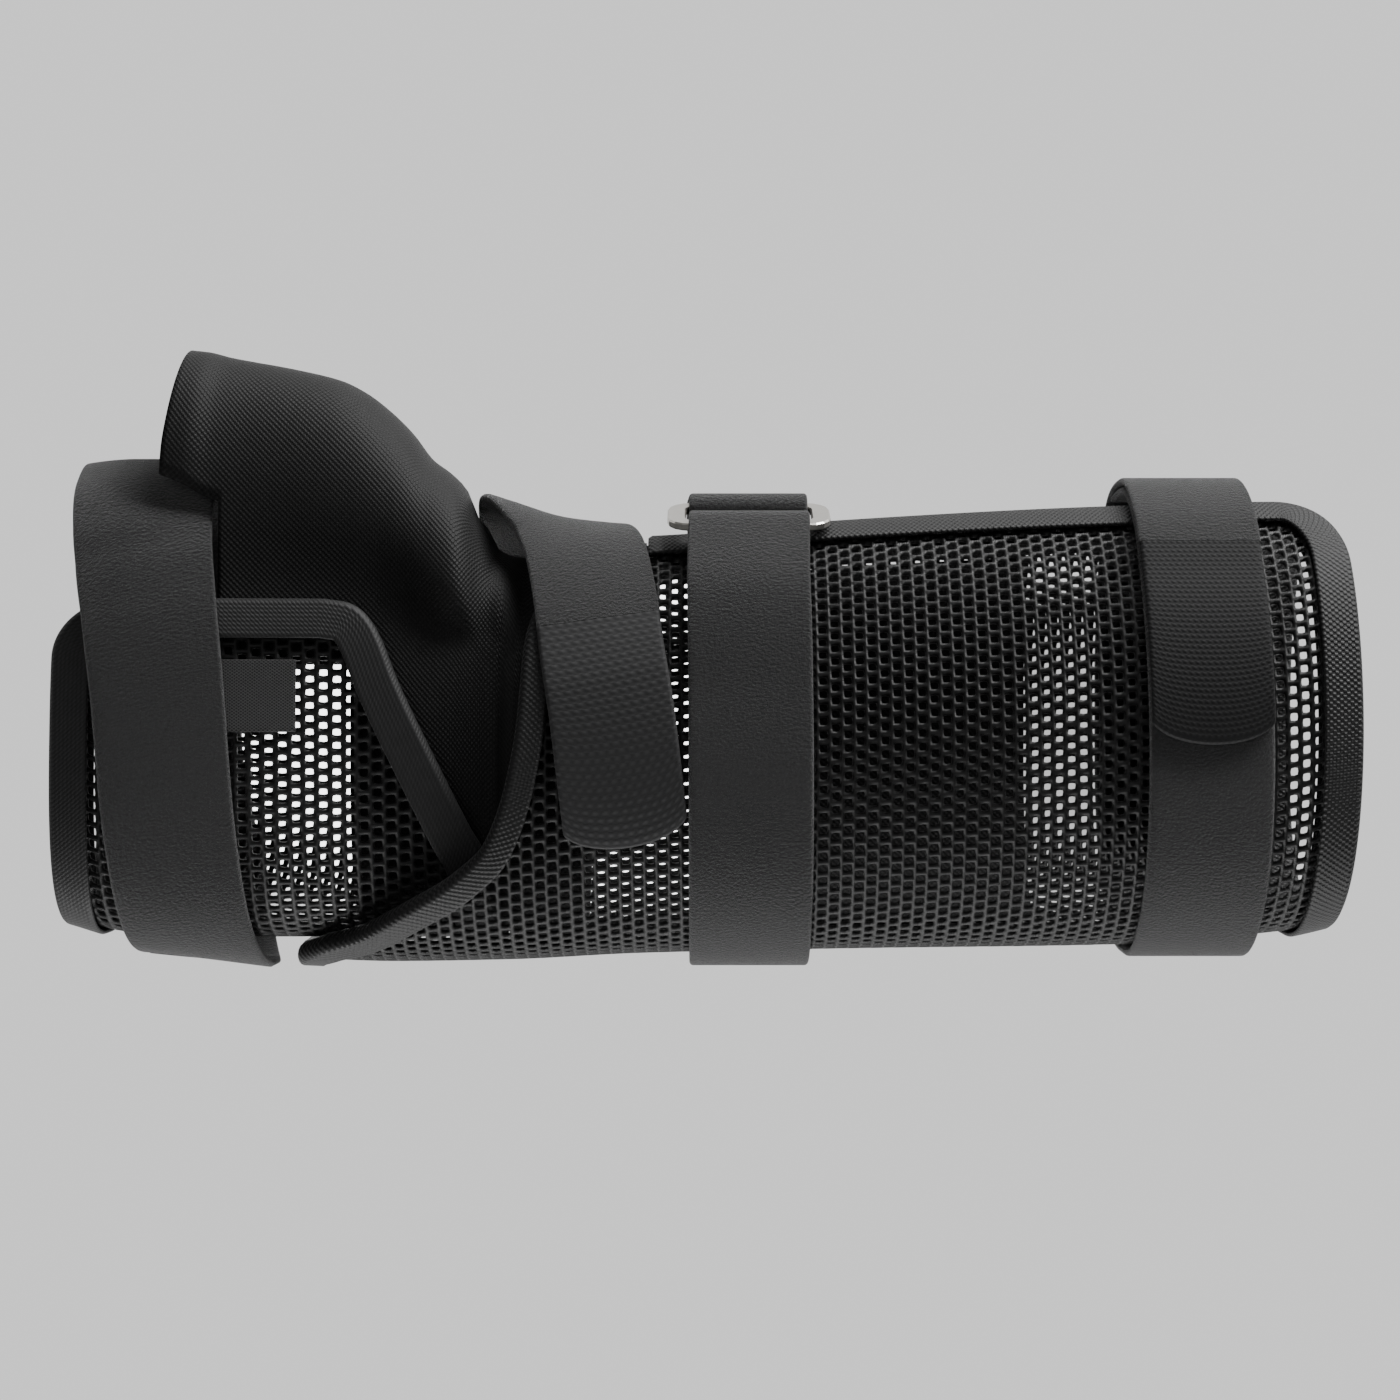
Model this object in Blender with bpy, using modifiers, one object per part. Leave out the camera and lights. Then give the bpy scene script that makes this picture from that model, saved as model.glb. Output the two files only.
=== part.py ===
"""A wrist brace of open mesh cloth, lying on its far broad side.

The forearm sleeve runs along +X and the hand sleeve along -X. +Y is the thumb side, where the forearm
sleeve is slit, and +Z is up from the surface it lies on. Every wall is worked out from two sleeves: a
place on a sleeve is its distance along X and its distance round from the top line, with a lift along
the cloth's own outward direction.
"""

from collections import namedtuple
from math import cos, pi, radians, sin

import bmesh
import bpy
import numpy as np
from mathutils import Matrix, Vector

MM = 0.001

# Cloth and clearances
CLOTH = 1.4 * MM
TAPE = 1.0 * MM
STRAP = 1.6 * MM
LINER = 1.2 * MM
PATCH = 1.0 * MM
GAP = 0.4 * MM
BINDING_GAP = 0.6 * MM

# Forearm sleeve, along X from the middle of the wrist
FOREARM_END = 134.0 * MM
FOREARM_TIP = -84.0 * MM
FOREARM_HEIGHT = 92.0 * MM
FOREARM_DEPTH = 63.3 * MM
FOREARM_LEAN = 6.7 * MM
FOREARM_NEAR_ROUND = 2.0
FOREARM_FAR_ROUND = 2.6
SLIT_NEAR = 6.5 * MM
SLIT_FAR = 15.0 * MM
THUMB_CUT = 68.0 * MM
SLEEVE_CORNER_ALONG = 12.0 * MM
SLEEVE_CORNER_ROUND = 18.0 * MM
SLEEVE_END_SLANT = 1.8 * MM

# Hand sleeve
HAND_END = -130.6 * MM
HAND_INNER_END = -42.6 * MM
HAND_HEIGHT = 85.0 * MM
HAND_DEPTH = 54.0 * MM
HAND_LEAN = 2.0 * MM
HAND_ROUND = 2.7
HAND_NEAR_EDGE = 19.0 * MM
HAND_FAR_EDGE = 15.0 * MM
HAND_CORNER_ALONG = 13.0 * MM
HAND_CORNER_ROUND = 12.0 * MM
HAND_END_SLANT = 1.3 * MM
HAND_SLANT = 32.0 * MM

# Edge bindings, folded round the cloth
BINDING_WIDTH = 7.0 * MM
THUMB_BINDING_WIDTH = 4.4 * MM
SLIT_BINDING_NEAR_START = 5.2 * MM
SLIT_BINDING_FAR_START = 11.0 * MM
FOLD_NOSE = 1.5 * MM

# Thumb guard
GUARD_END = -110.0 * MM
GUARD_NOTCH = -98.2 * MM
GUARD_BAND = -71.0 * MM
GUARD_ARM_END = -24.0 * MM
GUARD_HEIGHT = 73.0 * MM
GUARD_DEPTH = 58.5 * MM
GUARD_SKIRT = 8.0 * MM
GUARD_RIM = 21.0 * MM
GUARD_END_LEAN = 3.6 * MM
GUARD_LEAN_LENGTH = 0.2
GUARD_ROUND = 2.2
GUARD_JOINS = -41.5 * MM
GUARD_INSIDE = -36.5 * MM
GUARD_SKIRT_SHARE = 0.155
GUARD_SPRING_SHARE = 0.135

# Straps
STRAP_WIDTH = 25.0 * MM
HAND_STRAP_WIDTH = 25.5 * MM
CENTRE_STRAP_X = 10.2 * MM
FOREARM_STRAP_X = 102.1 * MM
FOREARM_TAB_WIDTH = 24.6 * MM
FOREARM_TAB_START = 22.5 * MM
FOREARM_TAB_LENGTH = 41.0 * MM
WRIST_TAB_START = 32.0 * MM
WRIST_TAB_LENGTH = 45.0 * MM
WRIST_STRAP_FAR_END = 38.0 * MM
CENTRE_STRAP_JOIN = 150.0 * MM
CENTRE_FOLD_LENGTH = 16.0 * MM
CENTRE_NEAR_FOLD = 0.085
CENTRE_FAR_FOLD = 0.025
CENTRE_FOLD_LEAVES = 0.01
STRAP_SEAM = 0.3 * MM
TAB_NOSE = 4.5 * MM
TAB_SIDES = (-1.0, -0.85, -0.5, 0.5, 0.85, 1.0)

# Ring that the centre strap is laced through
RING_WIDTH = 34.0 * MM
RING_DEPTH = 16.5 * MM
RING_THICKNESS = 1.6 * MM
RING_BAR = 3.0 * MM
RING_CORNER = 5.0 * MM
RING_RISE = 2.77 * MM
RING_NEARER = 8.95 * MM
RING_TILT = radians(20)
RING_EDGE = 0.3 * MM
FOLD_LEAD = radians(40)

# Hook patch on the hand sleeve, and the pocket inside the forearm's far wall
PATCH_LENGTH = 21.0 * MM
PATCH_WIDTH = 14.5 * MM
PATCH_END = -81.5 * MM
PATCH_TOP = 8.0 * MM
POCKET_START = 12.0 * MM
POCKET_END = 73.0 * MM
POCKET_BELOW = 10.0 * MM
POCKET_ABOVE = 23.0 * MM

# Lifts of the layers above the middle of the mesh cloth
BINDING_LIFT = CLOTH / 2 + BINDING_GAP + TAPE / 2
BINDING_TOP = BINDING_LIFT + TAPE / 2
STRAP_LIFT = CLOTH / 2 + GAP + STRAP / 2
STRAP_OVER_BINDING = BINDING_TOP + GAP + STRAP / 2
POCKET_LIFT = CLOTH / 2 + 1.5 * GAP + LINER / 2
GUARD_UNDER = BINDING_TOP + 2 * GAP + LINER / 2
SLEEVE_FLOOR = STRAP_LIFT + STRAP / 2
# The far wall is pressed flat by this much where it lies
REST_PRESS = 0.3 * MM

# Points and rows of the faceted surfaces
RING_STEPS = 720
NORMAL_STEP = 1.2 * MM
CORNER_ROWS = 4
FOREARM_COLUMNS = 12
FOREARM_ROWS = 28
HAND_COLUMNS = 8
HAND_ROWS = 20
HAND_STRAP_STEPS = 36
WRIST_STRAP_STEPS = 24
TAB_STEPS = 8
FOLD_STEPS = 3
BAR_STEPS = 7
CENTRE_NEAR_STEPS = 20
CENTRE_FAR_STEPS = 16
FOREARM_STRAP_STEPS = 44
PATCH_STEPS = 3
POCKET_STEPS = 4
POCKET_ROWS = 12
CURVE_STEPS = 4
SLOPE_STEP = 0.004
MERGE = 0.001 * MM
SHARP = radians(40)
GUARD_LEG_STEPS = 8
GUARD_WALL_STEPS = 2
GUARD_ARCH_STEPS = 12

# Shares of the sleeve's length, of its height above and below the arm line, and of its depth
Section = namedtuple("Section", "along top bottom near far")
FOREARM_SECTIONS = (
    Section(0.00, 0.363, 0.583, 1.000, 0.000),
    Section(0.09, 0.364, 0.591, 1.000, 0.000),
    Section(0.20, 0.365, 0.587, 1.000, 0.000),
    Section(0.33, 0.370, 0.572, 1.000, 0.000),
    Section(0.53, 0.408, 0.562, 1.000, 0.000),
    Section(0.77, 0.438, 0.554, 1.000, 0.000),
    Section(0.94, 0.449, 0.524, 0.997, 0.002),
    Section(1.00, 0.442, 0.494, 0.968, 0.030),
)
HAND_SECTIONS = (
    Section(0.00, 0.388, 0.525, 1.102, 0.340),
    Section(0.14, 0.412, 0.562, 1.136, 0.293),
    Section(0.53, 0.424, 0.578, 1.095, 0.154),
    Section(1.00, 0.424, 0.572, 1.052, 0.100),
)

# The thumb cut: distance round from the bottom line as a share of half the girth, and reach as a
# share of the cut's depth
CutRow = namedtuple("CutRow", "round reach")
THUMB_CUT_ROWS = (
    CutRow(0.000, 1.000),
    CutRow(0.100, 0.980),
    CutRow(0.160, 0.900),
    CutRow(0.200, 0.780),
    CutRow(0.250, 0.655),
    CutRow(0.315, 0.485),
    CutRow(0.372, 0.385),
    CutRow(0.478, 0.316),
    CutRow(0.584, 0.284),
    CutRow(0.710, 0.268),
    CutRow(0.805, 0.221),
    CutRow(0.880, 0.148),
    CutRow(0.950, 0.000),
)

# The hand sleeve's slanted edge: distance round from the bottom line as a share of half the panel,
# and the setback as a share of the slant
HAND_EDGE_ROWS = (
    CutRow(0.00, 0.000),
    CutRow(0.24, 0.020),
    CutRow(0.36, 0.075),
    CutRow(0.43, 0.165),
    CutRow(0.57, 0.340),
    CutRow(0.80, 0.620),
    CutRow(0.92, 0.745),
    CutRow(0.965, 0.820),
    CutRow(0.99, 0.910),
    CutRow(1.00, 1.060),
)

# The thumb guard along X: crest, spring line and the two walls at the spring line, as shares of the
# guard's height and depth
GuardRow = namedtuple("GuardRow", "along crest spring near far")
GUARD_ROWS = (
    GuardRow(0.000, 1.000, 0.668, 1.000, 0.365),
    GuardRow(0.052, 0.995, 0.638, 0.998, 0.360),
    GuardRow(0.113, 0.982, 0.590, 0.975, 0.355),
    GuardRow(0.210, 0.966, 0.560, 0.960, 0.345),
    GuardRow(0.300, 0.947, 0.545, 0.955, 0.325),
    GuardRow(0.395, 0.920, 0.520, 0.955, 0.300),
    GuardRow(0.454, 0.886, 0.500, 0.955, 0.285),
    GuardRow(0.510, 0.836, 0.470, 0.955, 0.270),
    GuardRow(0.565, 0.772, 0.420, 0.960, 0.250),
    GuardRow(0.615, 0.695, 0.360, 0.975, 0.230),
    GuardRow(0.660, 0.655, 0.310, 0.990, 0.215),
    GuardRow(0.695, 0.612, 0.280, 0.995, 0.200),
    GuardRow(0.722, 0.532, 0.250, 0.970, 0.190),
    GuardRow(0.745, 0.500, 0.220, 0.930, 0.180),
    GuardRow(0.775, 0.435, 0.200, 0.915, 0.170),
    GuardRow(0.820, 0.415, 0.180, 0.930, 0.165),
    GuardRow(0.890, 0.415, 0.165, 0.960, 0.160),
    GuardRow(1.000, 0.425, 0.165, 0.985, 0.160),
)

# A strap's line: distance round from the top line as a share of the girth, shift along X as a share
# of the strap's width, and how far each edge stands off its resting lift, as a share of its width
StrapRow = namedtuple("StrapRow", "round shift hand_edge arm_edge")
HAND_STRAP_ROWS = (
    StrapRow(-0.500, -0.08, 0.02, 0.12),
    StrapRow(-0.400, -0.32, 0.01, 0.02),
    StrapRow(-0.260, -0.55, 0.00, 0.00),
    StrapRow(-0.150, -0.56, 0.00, 0.00),
    StrapRow(-0.100, -0.53, 0.03, 0.03),
    StrapRow(-0.060, -0.47, 0.22, 0.22),
    StrapRow(-0.040, -0.49, 0.36, 0.36),
    StrapRow(-0.020, -0.50, 0.46, 0.44),
    StrapRow(0.000, -0.51, 0.46, 0.42),
    StrapRow(0.030, -0.51, 0.35, 0.32),
    StrapRow(0.060, -0.50, 0.17, 0.15),
    StrapRow(0.085, -0.48, 0.06, 0.06),
    StrapRow(0.130, -0.42, 0.01, 0.00),
    StrapRow(0.200, -0.34, 0.00, 0.00),
    StrapRow(0.330, -0.25, 0.00, 0.00),
    StrapRow(0.420, -0.17, 0.01, 0.02),
    StrapRow(0.500, -0.08, 0.02, 0.12),
)
WRIST_STRAP_ROWS = (
    StrapRow(-0.155, -0.74, 0.03, 0.00),
    StrapRow(-0.110, -0.74, 0.11, 0.00),
    StrapRow(-0.055, -0.72, 0.21, -0.02),
    StrapRow(-0.025, -0.68, 0.26, -0.06),
    StrapRow(0.000, -0.54, 0.23, -0.10),
    StrapRow(0.025, -0.37, 0.15, -0.03),
    StrapRow(0.060, -0.23, 0.08, 0.02),
    StrapRow(0.110, -0.13, 0.02, 0.00),
    StrapRow(0.155, -0.07, 0.00, 0.00),
    StrapRow(0.205, 0.01, 0.00, 0.00),
    StrapRow(0.340, 0.17, 0.00, 0.00),
)
WRIST_STRAP_X = -18.0 * MM
HAND_STRAP_X = -100.0 * MM

# Shares of the girth over which the wrist strap lies on the thumb edge binding, then comes down
WRIST_OVER_EDGE = 0.18
WRIST_COMES_DOWN = 0.08

# The centre strap's two folds at the ring, and the forearm strap's two layers: distance round from
# the top line as a share of the girth, and the stand-off as a share of the strap's width
LayerRow = namedtuple("LayerRow", "round stand")
CENTRE_NEAR_OUTER = (
    LayerRow(0.085, 0.240),
    LayerRow(0.120, 0.180),
    LayerRow(0.160, 0.100),
    LayerRow(0.200, 0.020),
    LayerRow(0.400, 0.010),
    LayerRow(0.480, 0.056),
    LayerRow(0.540, 0.056),
    LayerRow(0.620, 0.000),
)
CENTRE_NEAR_INNER = (
    LayerRow(0.085, 0.122),
    LayerRow(0.120, 0.080),
    LayerRow(0.165, 0.012),
)
CENTRE_FAR_OUTER = (
    LayerRow(0.025, 0.240),
    LayerRow(0.060, 0.212),
    LayerRow(0.090, 0.170),
    LayerRow(0.120, 0.112),
    LayerRow(0.150, 0.055),
    LayerRow(0.190, 0.010),
    LayerRow(0.220, 0.000),
    LayerRow(0.360, 0.000),
)
CENTRE_FAR_INNER = (
    LayerRow(0.025, 0.125),
    LayerRow(0.060, 0.108),
    LayerRow(0.090, 0.084),
)
FOREARM_STRAP_LAYERS = (
    LayerRow(-0.040, 0.070),
    LayerRow(0.060, 0.070),
    LayerRow(0.110, 0.012),
    LayerRow(0.400, 0.012),
    LayerRow(0.480, 0.056),
    LayerRow(0.540, 0.050),
    LayerRow(0.620, 0.000),
    LayerRow(0.840, 0.000),
    LayerRow(0.910, 0.080),
    LayerRow(0.960, 0.149),
    LayerRow(1.000, 0.149),
    LayerRow(1.030, 0.149),
    LayerRow(1.060, 0.146),
    LayerRow(1.120, 0.084),
    LayerRow(1.300, 0.084),
)


def smooth_column(rows, column, at):
    """The value of one column of a table at a place, on a curve through its rows without overshoot."""
    places = [row[0] for row in rows]
    values = [getattr(row, column) for row in rows]
    at = min(max(at, places[0]), places[-1])
    slopes = [(b - a) / (q - p) for a, b, p, q in zip(values, values[1:], places, places[1:])]
    tangents = [slopes[0]]
    for before, after in zip(slopes, slopes[1:]):
        same_way = before * after > 0
        tangents.append(2 * before * after / (before + after) if same_way else 0.0)
    tangents.append(slopes[-1])
    i = max(k for k, place in enumerate(places[:-1]) if place <= at)
    width = places[i + 1] - places[i]
    t = (at - places[i]) / width
    return (
        (2 * t**3 - 3 * t**2 + 1) * values[i]
        + (t**3 - 2 * t**2 + t) * width * tangents[i]
        + (3 * t**2 - 2 * t**3) * values[i + 1]
        + (t**3 - t**2) * width * tangents[i + 1]
    )


def smooth_step(value):
    """A soft step from 0 to 1."""
    value = min(1.0, max(0.0, value))
    return value * value * (3 - 2 * value)


def spread(start, end, steps):
    """Evenly spaced values from start to end, both included."""
    return [start + (end - start) * k / steps for k in range(steps + 1)]


def corner_steps(radius):
    """Distances from an edge across its rounded corner, closer together at the edge."""
    return [radius * (1 - cos(pi / 2 * k / CORNER_ROWS)) for k in range(CORNER_ROWS + 1)]


class Sleeve:
    """A closed cloth sleeve along X, whose sections come from a table."""

    def __init__(self, rows, start, end, height, depth, lean, near_round, far_round):
        self.rows = rows
        self.start = start
        self.end = end
        self.height = height
        self.depth = depth
        self.lean = lean
        self.near_round = near_round
        self.far_round = far_round
        self.rings = {}

    def ring(self, x):
        """Distances round from the top line, and the section's points, at one place along X."""
        key = round(x / MM, 4)
        if key not in self.rings:
            along = (x - self.start) / (self.end - self.start)
            top, bottom, near, far = (
                smooth_column(self.rows, name, along) for name in Section._fields[1:]
            )
            turn = np.linspace(0, 2 * pi, RING_STEPS + 1)
            up, out = np.cos(turn), np.sin(turn)
            power = np.where(out > 0, 2 / self.near_round, 2 / self.far_round)
            y = (top - bottom) / 2 + (top + bottom) / 2 * np.sign(up) * np.abs(up) ** power
            y = y * self.height - self.lean * np.maximum(0, out) ** 1.3
            z = (near + far) / 2 + (near - far) / 2 * np.sign(out) * np.abs(out) ** power
            z = np.maximum(z * self.depth - REST_PRESS, 0) + SLEEVE_FLOOR
            steps = np.hypot(np.diff(y), np.diff(z))
            self.rings[key] = (np.concatenate([[0], np.cumsum(steps)]), y, z)
        return self.rings[key]

    def girth(self, x):
        return float(self.ring(x)[0][-1])

    def down_to(self, x, height, far=False):
        """Distance round from the top line to a height above the arm line, on one side."""
        gone, y, _ = self.ring(x)
        half = RING_STEPS // 2
        if far:
            return float(np.interp(height, y[half:], gone[half:]))
        return float(np.interp(-height, -y[: half + 1], gone[: half + 1]))

    def on_wall(self, x, way):
        gone, y, z = self.ring(x)
        way = way % gone[-1]
        return Vector((x, float(np.interp(way, gone, y)), float(np.interp(way, gone, z))))

    def outward(self, x, way):
        """The wall's outward direction."""
        along = self.on_wall(x + NORMAL_STEP, way) - self.on_wall(x - NORMAL_STEP, way)
        across = self.on_wall(x, way + NORMAL_STEP) - self.on_wall(x, way - NORMAL_STEP)
        return across.cross(along).normalized()

    def place(self, x, way, lift=0.0):
        return self.on_wall(x, way) + self.outward(x, way) * lift


FOREARM = Sleeve(
    FOREARM_SECTIONS, FOREARM_TIP, FOREARM_END, FOREARM_HEIGHT, FOREARM_DEPTH,
    FOREARM_LEAN, FOREARM_NEAR_ROUND, FOREARM_FAR_ROUND,
)
HAND = Sleeve(
    HAND_SECTIONS, HAND_END, HAND_INNER_END, HAND_HEIGHT, HAND_DEPTH,
    HAND_LEAN, HAND_ROUND, HAND_ROUND,
)


class Panel:
    """A piece cut from a sleeve: rows run round it, and each row runs along X between two edges."""

    def __init__(self, sleeve, near_way, far_way, hand_edge, arm_edge, corner, columns, rows):
        self.sleeve = sleeve
        self.near_way = near_way
        self.far_way = far_way
        self.hand_edge = hand_edge
        self.arm_edge = arm_edge
        middle = (sleeve.start + sleeve.end) / 2
        span = far_way(middle) - near_way(middle)
        ends = corner_steps(corner)
        inner = spread(corner, span - corner, rows)
        round_steps = ends[:-1] + inner + [span - step for step in ends[-2::-1]]
        self.shares = [step / span for step in round_steps]
        self.columns = columns

    def way(self, x, share):
        start = self.near_way(x)
        return start + (self.far_way(x) - start) * share

    def slot(self, share, column):
        """X of one column: the first two and the last two stretches are as wide as a binding."""
        left, right = self.hand_edge(share), self.arm_edge(share)
        if column <= 2:
            return left + BINDING_WIDTH * column
        if column >= self.columns - 2:
            return right - BINDING_WIDTH * (self.columns - column)
        left, right = left + 2 * BINDING_WIDTH, right - 2 * BINDING_WIDTH
        return left + (right - left) * (column - 2) / (self.columns - 4)

    def wall(self):
        """Rows of points of the whole piece."""
        return [
            [
                self.sleeve.place(x, self.way(x, share))
                for x in (self.slot(share, column) for column in range(self.columns + 1))
            ]
            for share in self.shares
        ]

    def rim(self):
        """The outline as (x, share) places: near edge, arm edge, far edge, then hand edge."""
        first, last = self.shares[0], self.shares[-1]
        near = [(self.slot(first, c), first) for c in range(self.columns + 1)]
        arm = [(self.slot(share, self.columns), share) for share in self.shares[1:-1]]
        far = [(self.slot(last, c), last) for c in range(self.columns, -1, -1)]
        hand = [(self.slot(share, 0), share) for share in self.shares[-2:0:-1]]
        return near, arm, far, hand


def rounded_end(edge, slant, corner_along, corner_round, span, way_in):
    """An end line that leans by its slant towards -X at the bottom line, with two rounded corners.

    way_in is 1 where the piece lies towards +X from this line, and -1 where it lies towards -X.
    """

    def at(share):
        place = edge - slant * 2 * min(share, 1 - share)
        from_end = min(share, 1 - share) * span
        if from_end >= corner_round:
            return place
        turned = 1 - from_end / corner_round
        return place + way_in * corner_along * (1 - (1 - turned**2) ** 0.5)

    return at


def forearm_panel():
    middle = (FOREARM.start + FOREARM.end) / 2
    span = FOREARM.girth(middle) - SLIT_FAR - SLIT_NEAR
    bottom = (FOREARM.girth(middle) / 2 - SLIT_NEAR) / span
    longest = max(bottom, 1 - bottom)

    def thumb_edge(share):
        from_bottom = abs(share - bottom) / longest * THUMB_CUT_ROWS[-1].round
        return FOREARM_TIP + THUMB_CUT * (1 - smooth_column(THUMB_CUT_ROWS, "reach", from_bottom))

    return Panel(
        FOREARM,
        lambda x: SLIT_NEAR,
        lambda x: FOREARM.girth(x) - SLIT_FAR,
        thumb_edge,
        rounded_end(
            FOREARM_END - FOLD_NOSE, SLEEVE_END_SLANT, SLEEVE_CORNER_ALONG, SLEEVE_CORNER_ROUND, span, -1
        ),
        SLEEVE_CORNER_ROUND,
        FOREARM_COLUMNS,
        FOREARM_ROWS,
    )


def hand_panel():
    def near_way(x):
        return HAND.down_to(x, HAND_NEAR_EDGE)

    def far_way(x):
        return HAND.down_to(x, HAND_FAR_EDGE, far=True)

    middle = (HAND.start + HAND.end) / 2
    span = far_way(middle) - near_way(middle)

    def slanted_edge(share):
        from_bottom = abs(share - 0.5) * 2
        return HAND_INNER_END - HAND_SLANT * smooth_column(HAND_EDGE_ROWS, "reach", from_bottom)

    return Panel(
        HAND,
        near_way,
        far_way,
        rounded_end(HAND_END + FOLD_NOSE, HAND_END_SLANT, HAND_CORNER_ALONG, HAND_CORNER_ROUND, span, 1),
        slanted_edge,
        HAND_CORNER_ROUND,
        HAND_COLUMNS,
        HAND_ROWS,
    )


def binding_rows(panel, route, closed, width, inner_side):
    """A tape folded round a stretch of a panel's rim: rows of points across the fold."""
    fold = (
        (width, BINDING_LIFT),
        (0.0, BINDING_LIFT),
        (-FOLD_NOSE + TAPE / 2, 0.0),
        (0.0, -BINDING_LIFT),
        (width, -BINDING_LIFT),
    )
    rows = []
    count = len(route)
    for i, (x, share) in enumerate(route):
        before = route[i - 1] if i or closed else route[0]
        after = route[(i + 1) % count] if i + 1 < count or closed else route[-1]
        girth = panel.far_way(x) - panel.near_way(x)
        run = Vector((after[0] - before[0], (after[1] - before[1]) * girth)).normalized()
        inward = Vector((-run.y, run.x)) * inner_side
        row = []
        for reach, lift in fold:
            at_x = x + inward.x * reach
            at_way = panel.way(at_x, share + inward.y * reach / girth)
            row.append(panel.sleeve.place(at_x, at_way, lift))
        rows.append(row)
    return rows


def strap_rows(sleeve, rows, centre_x, width, start, end, steps, rest, sides=(-1.0, 0.0, 1.0)):
    """Rows of points of a strap whose line and edges follow a table; start and end are shares."""
    found = []
    girth = sleeve.girth(centre_x)
    for share in spread(start, end, steps):
        shift = smooth_column(rows, "shift", share) * width
        after = smooth_column(rows, "shift", share + SLOPE_STEP)
        before = smooth_column(rows, "shift", share - SLOPE_STEP)
        slope = (after - before) * width / (2 * SLOPE_STEP * girth)
        across = Vector((1.0, -slope)).normalized()
        hand_lift = rest(share) + smooth_column(rows, "hand_edge", share) * width
        arm_lift = rest(share) + smooth_column(rows, "arm_edge", share) * width
        row = []
        for side in sides:
            lift = hand_lift + (arm_lift - hand_lift) * (side + 1) / 2
            at_x = centre_x + shift + across.x * side * width / 2
            at_way = share * girth + across.y * side * width / 2
            row.append(sleeve.place(at_x, at_way, lift))
        found.append(row)
    return found


def layer_line(rows, x, start, end, steps):
    """Points of a strap's middle line round the forearm, lifted by a table of stand-offs."""
    girth = FOREARM.girth(x)
    return [
        FOREARM.place(x, share * girth, STRAP_LIFT + smooth_column(rows, "stand", share) * STRAP_WIDTH)
        for share in spread(start, end, steps)
    ]


def far_layer_line(rows, x, start, end, steps):
    """As layer_line, with the shares counted from the top line towards the far side."""
    girth = FOREARM.girth(x)
    return [
        FOREARM.place(x, -share * girth, STRAP_LIFT + smooth_column(rows, "stand", share) * STRAP_WIDTH)
        for share in spread(start, end, steps)
    ]


def widened(line, width):
    """A strap's rows from its middle line, straight across X."""
    half = Vector((width / 2, 0, 0))
    return [[point - half, point + half] for point in line]


def ring_middle():
    """The middle of the ring, held off the forearm's top line."""
    return FOREARM.on_wall(CENTRE_STRAP_X, 0.0) + Vector((0, RING_RISE, RING_NEARER))


def ring_point(along, lift=0.0):
    """A place in the ring's plane: distance towards the near bar, and lift out of the plane."""
    near = Vector((0, -sin(RING_TILT), cos(RING_TILT)))
    out = Vector((0, cos(RING_TILT), sin(RING_TILT)))
    return ring_middle() + near * along + out * lift


def bar_fold(near_side):
    """Points of a strap's turn round one of the ring's bars, from its outer face to its inner one."""
    side = 1 if near_side else -1
    bar = side * (RING_DEPTH - RING_BAR) / 2
    reach = RING_BAR / 2 + 2 * GAP + STRAP / 2
    stand = RING_THICKNESS / 2 + 2 * GAP + STRAP / 2
    return [
        ring_point(bar - side * reach * sin(turn), stand * cos(turn))
        for turn in spread(-FOLD_LEAD, pi, BAR_STEPS)
    ]


def new_material(name, colour, metallic, roughness):
    material = bpy.data.materials.new(name)
    material.use_nodes = True
    shader = material.node_tree.nodes["Principled BSDF"]
    shader.inputs["Base Color"].default_value = (*colour, 1.0)
    shader.inputs["Metallic"].default_value = metallic
    shader.inputs["Roughness"].default_value = roughness
    return material


def new_collection(name):
    collection = bpy.data.collections.new(name)
    bpy.context.scene.collection.children.link(collection)
    return collection


def surface(rows, closed=False, keep=None):
    """A mesh sheet through rows of points; keep says which faces (row, column) are there."""
    mesh = bpy.data.meshes.new("sheet")
    made = bmesh.new()
    verts = [[made.verts.new(point) for point in row] for row in rows]
    count = len(rows) if closed else len(rows) - 1
    for i in range(count):
        first, second = verts[i], verts[(i + 1) % len(rows)]
        for j in range(len(first) - 1):
            if keep is None or keep(i, j):
                made.faces.new((first[j], first[j + 1], second[j + 1], second[j]))
    bmesh.ops.remove_doubles(made, verts=made.verts, dist=MERGE)
    loose = [vert for vert in made.verts if not vert.link_faces]
    bmesh.ops.delete(made, geom=loose, context="VERTS")
    bmesh.ops.recalc_face_normals(made, faces=made.faces)
    made.to_mesh(mesh)
    made.free()
    return mesh


def cloth(name, mesh, thickness, material):
    """A cloth piece: a sheet with the cloth's thickness given to it, half on each side."""
    piece = bpy.data.objects.new(name, mesh)
    thick = piece.modifiers.new("Thickness", "SOLIDIFY")
    thick.thickness = thickness
    thick.offset = 0.0
    mesh.materials.append(material)
    mesh.shade_smooth()
    mesh.set_sharp_from_angle(angle=SHARP)
    PARTS.objects.link(piece)
    piece.parent = BRACE
    return piece


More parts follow.
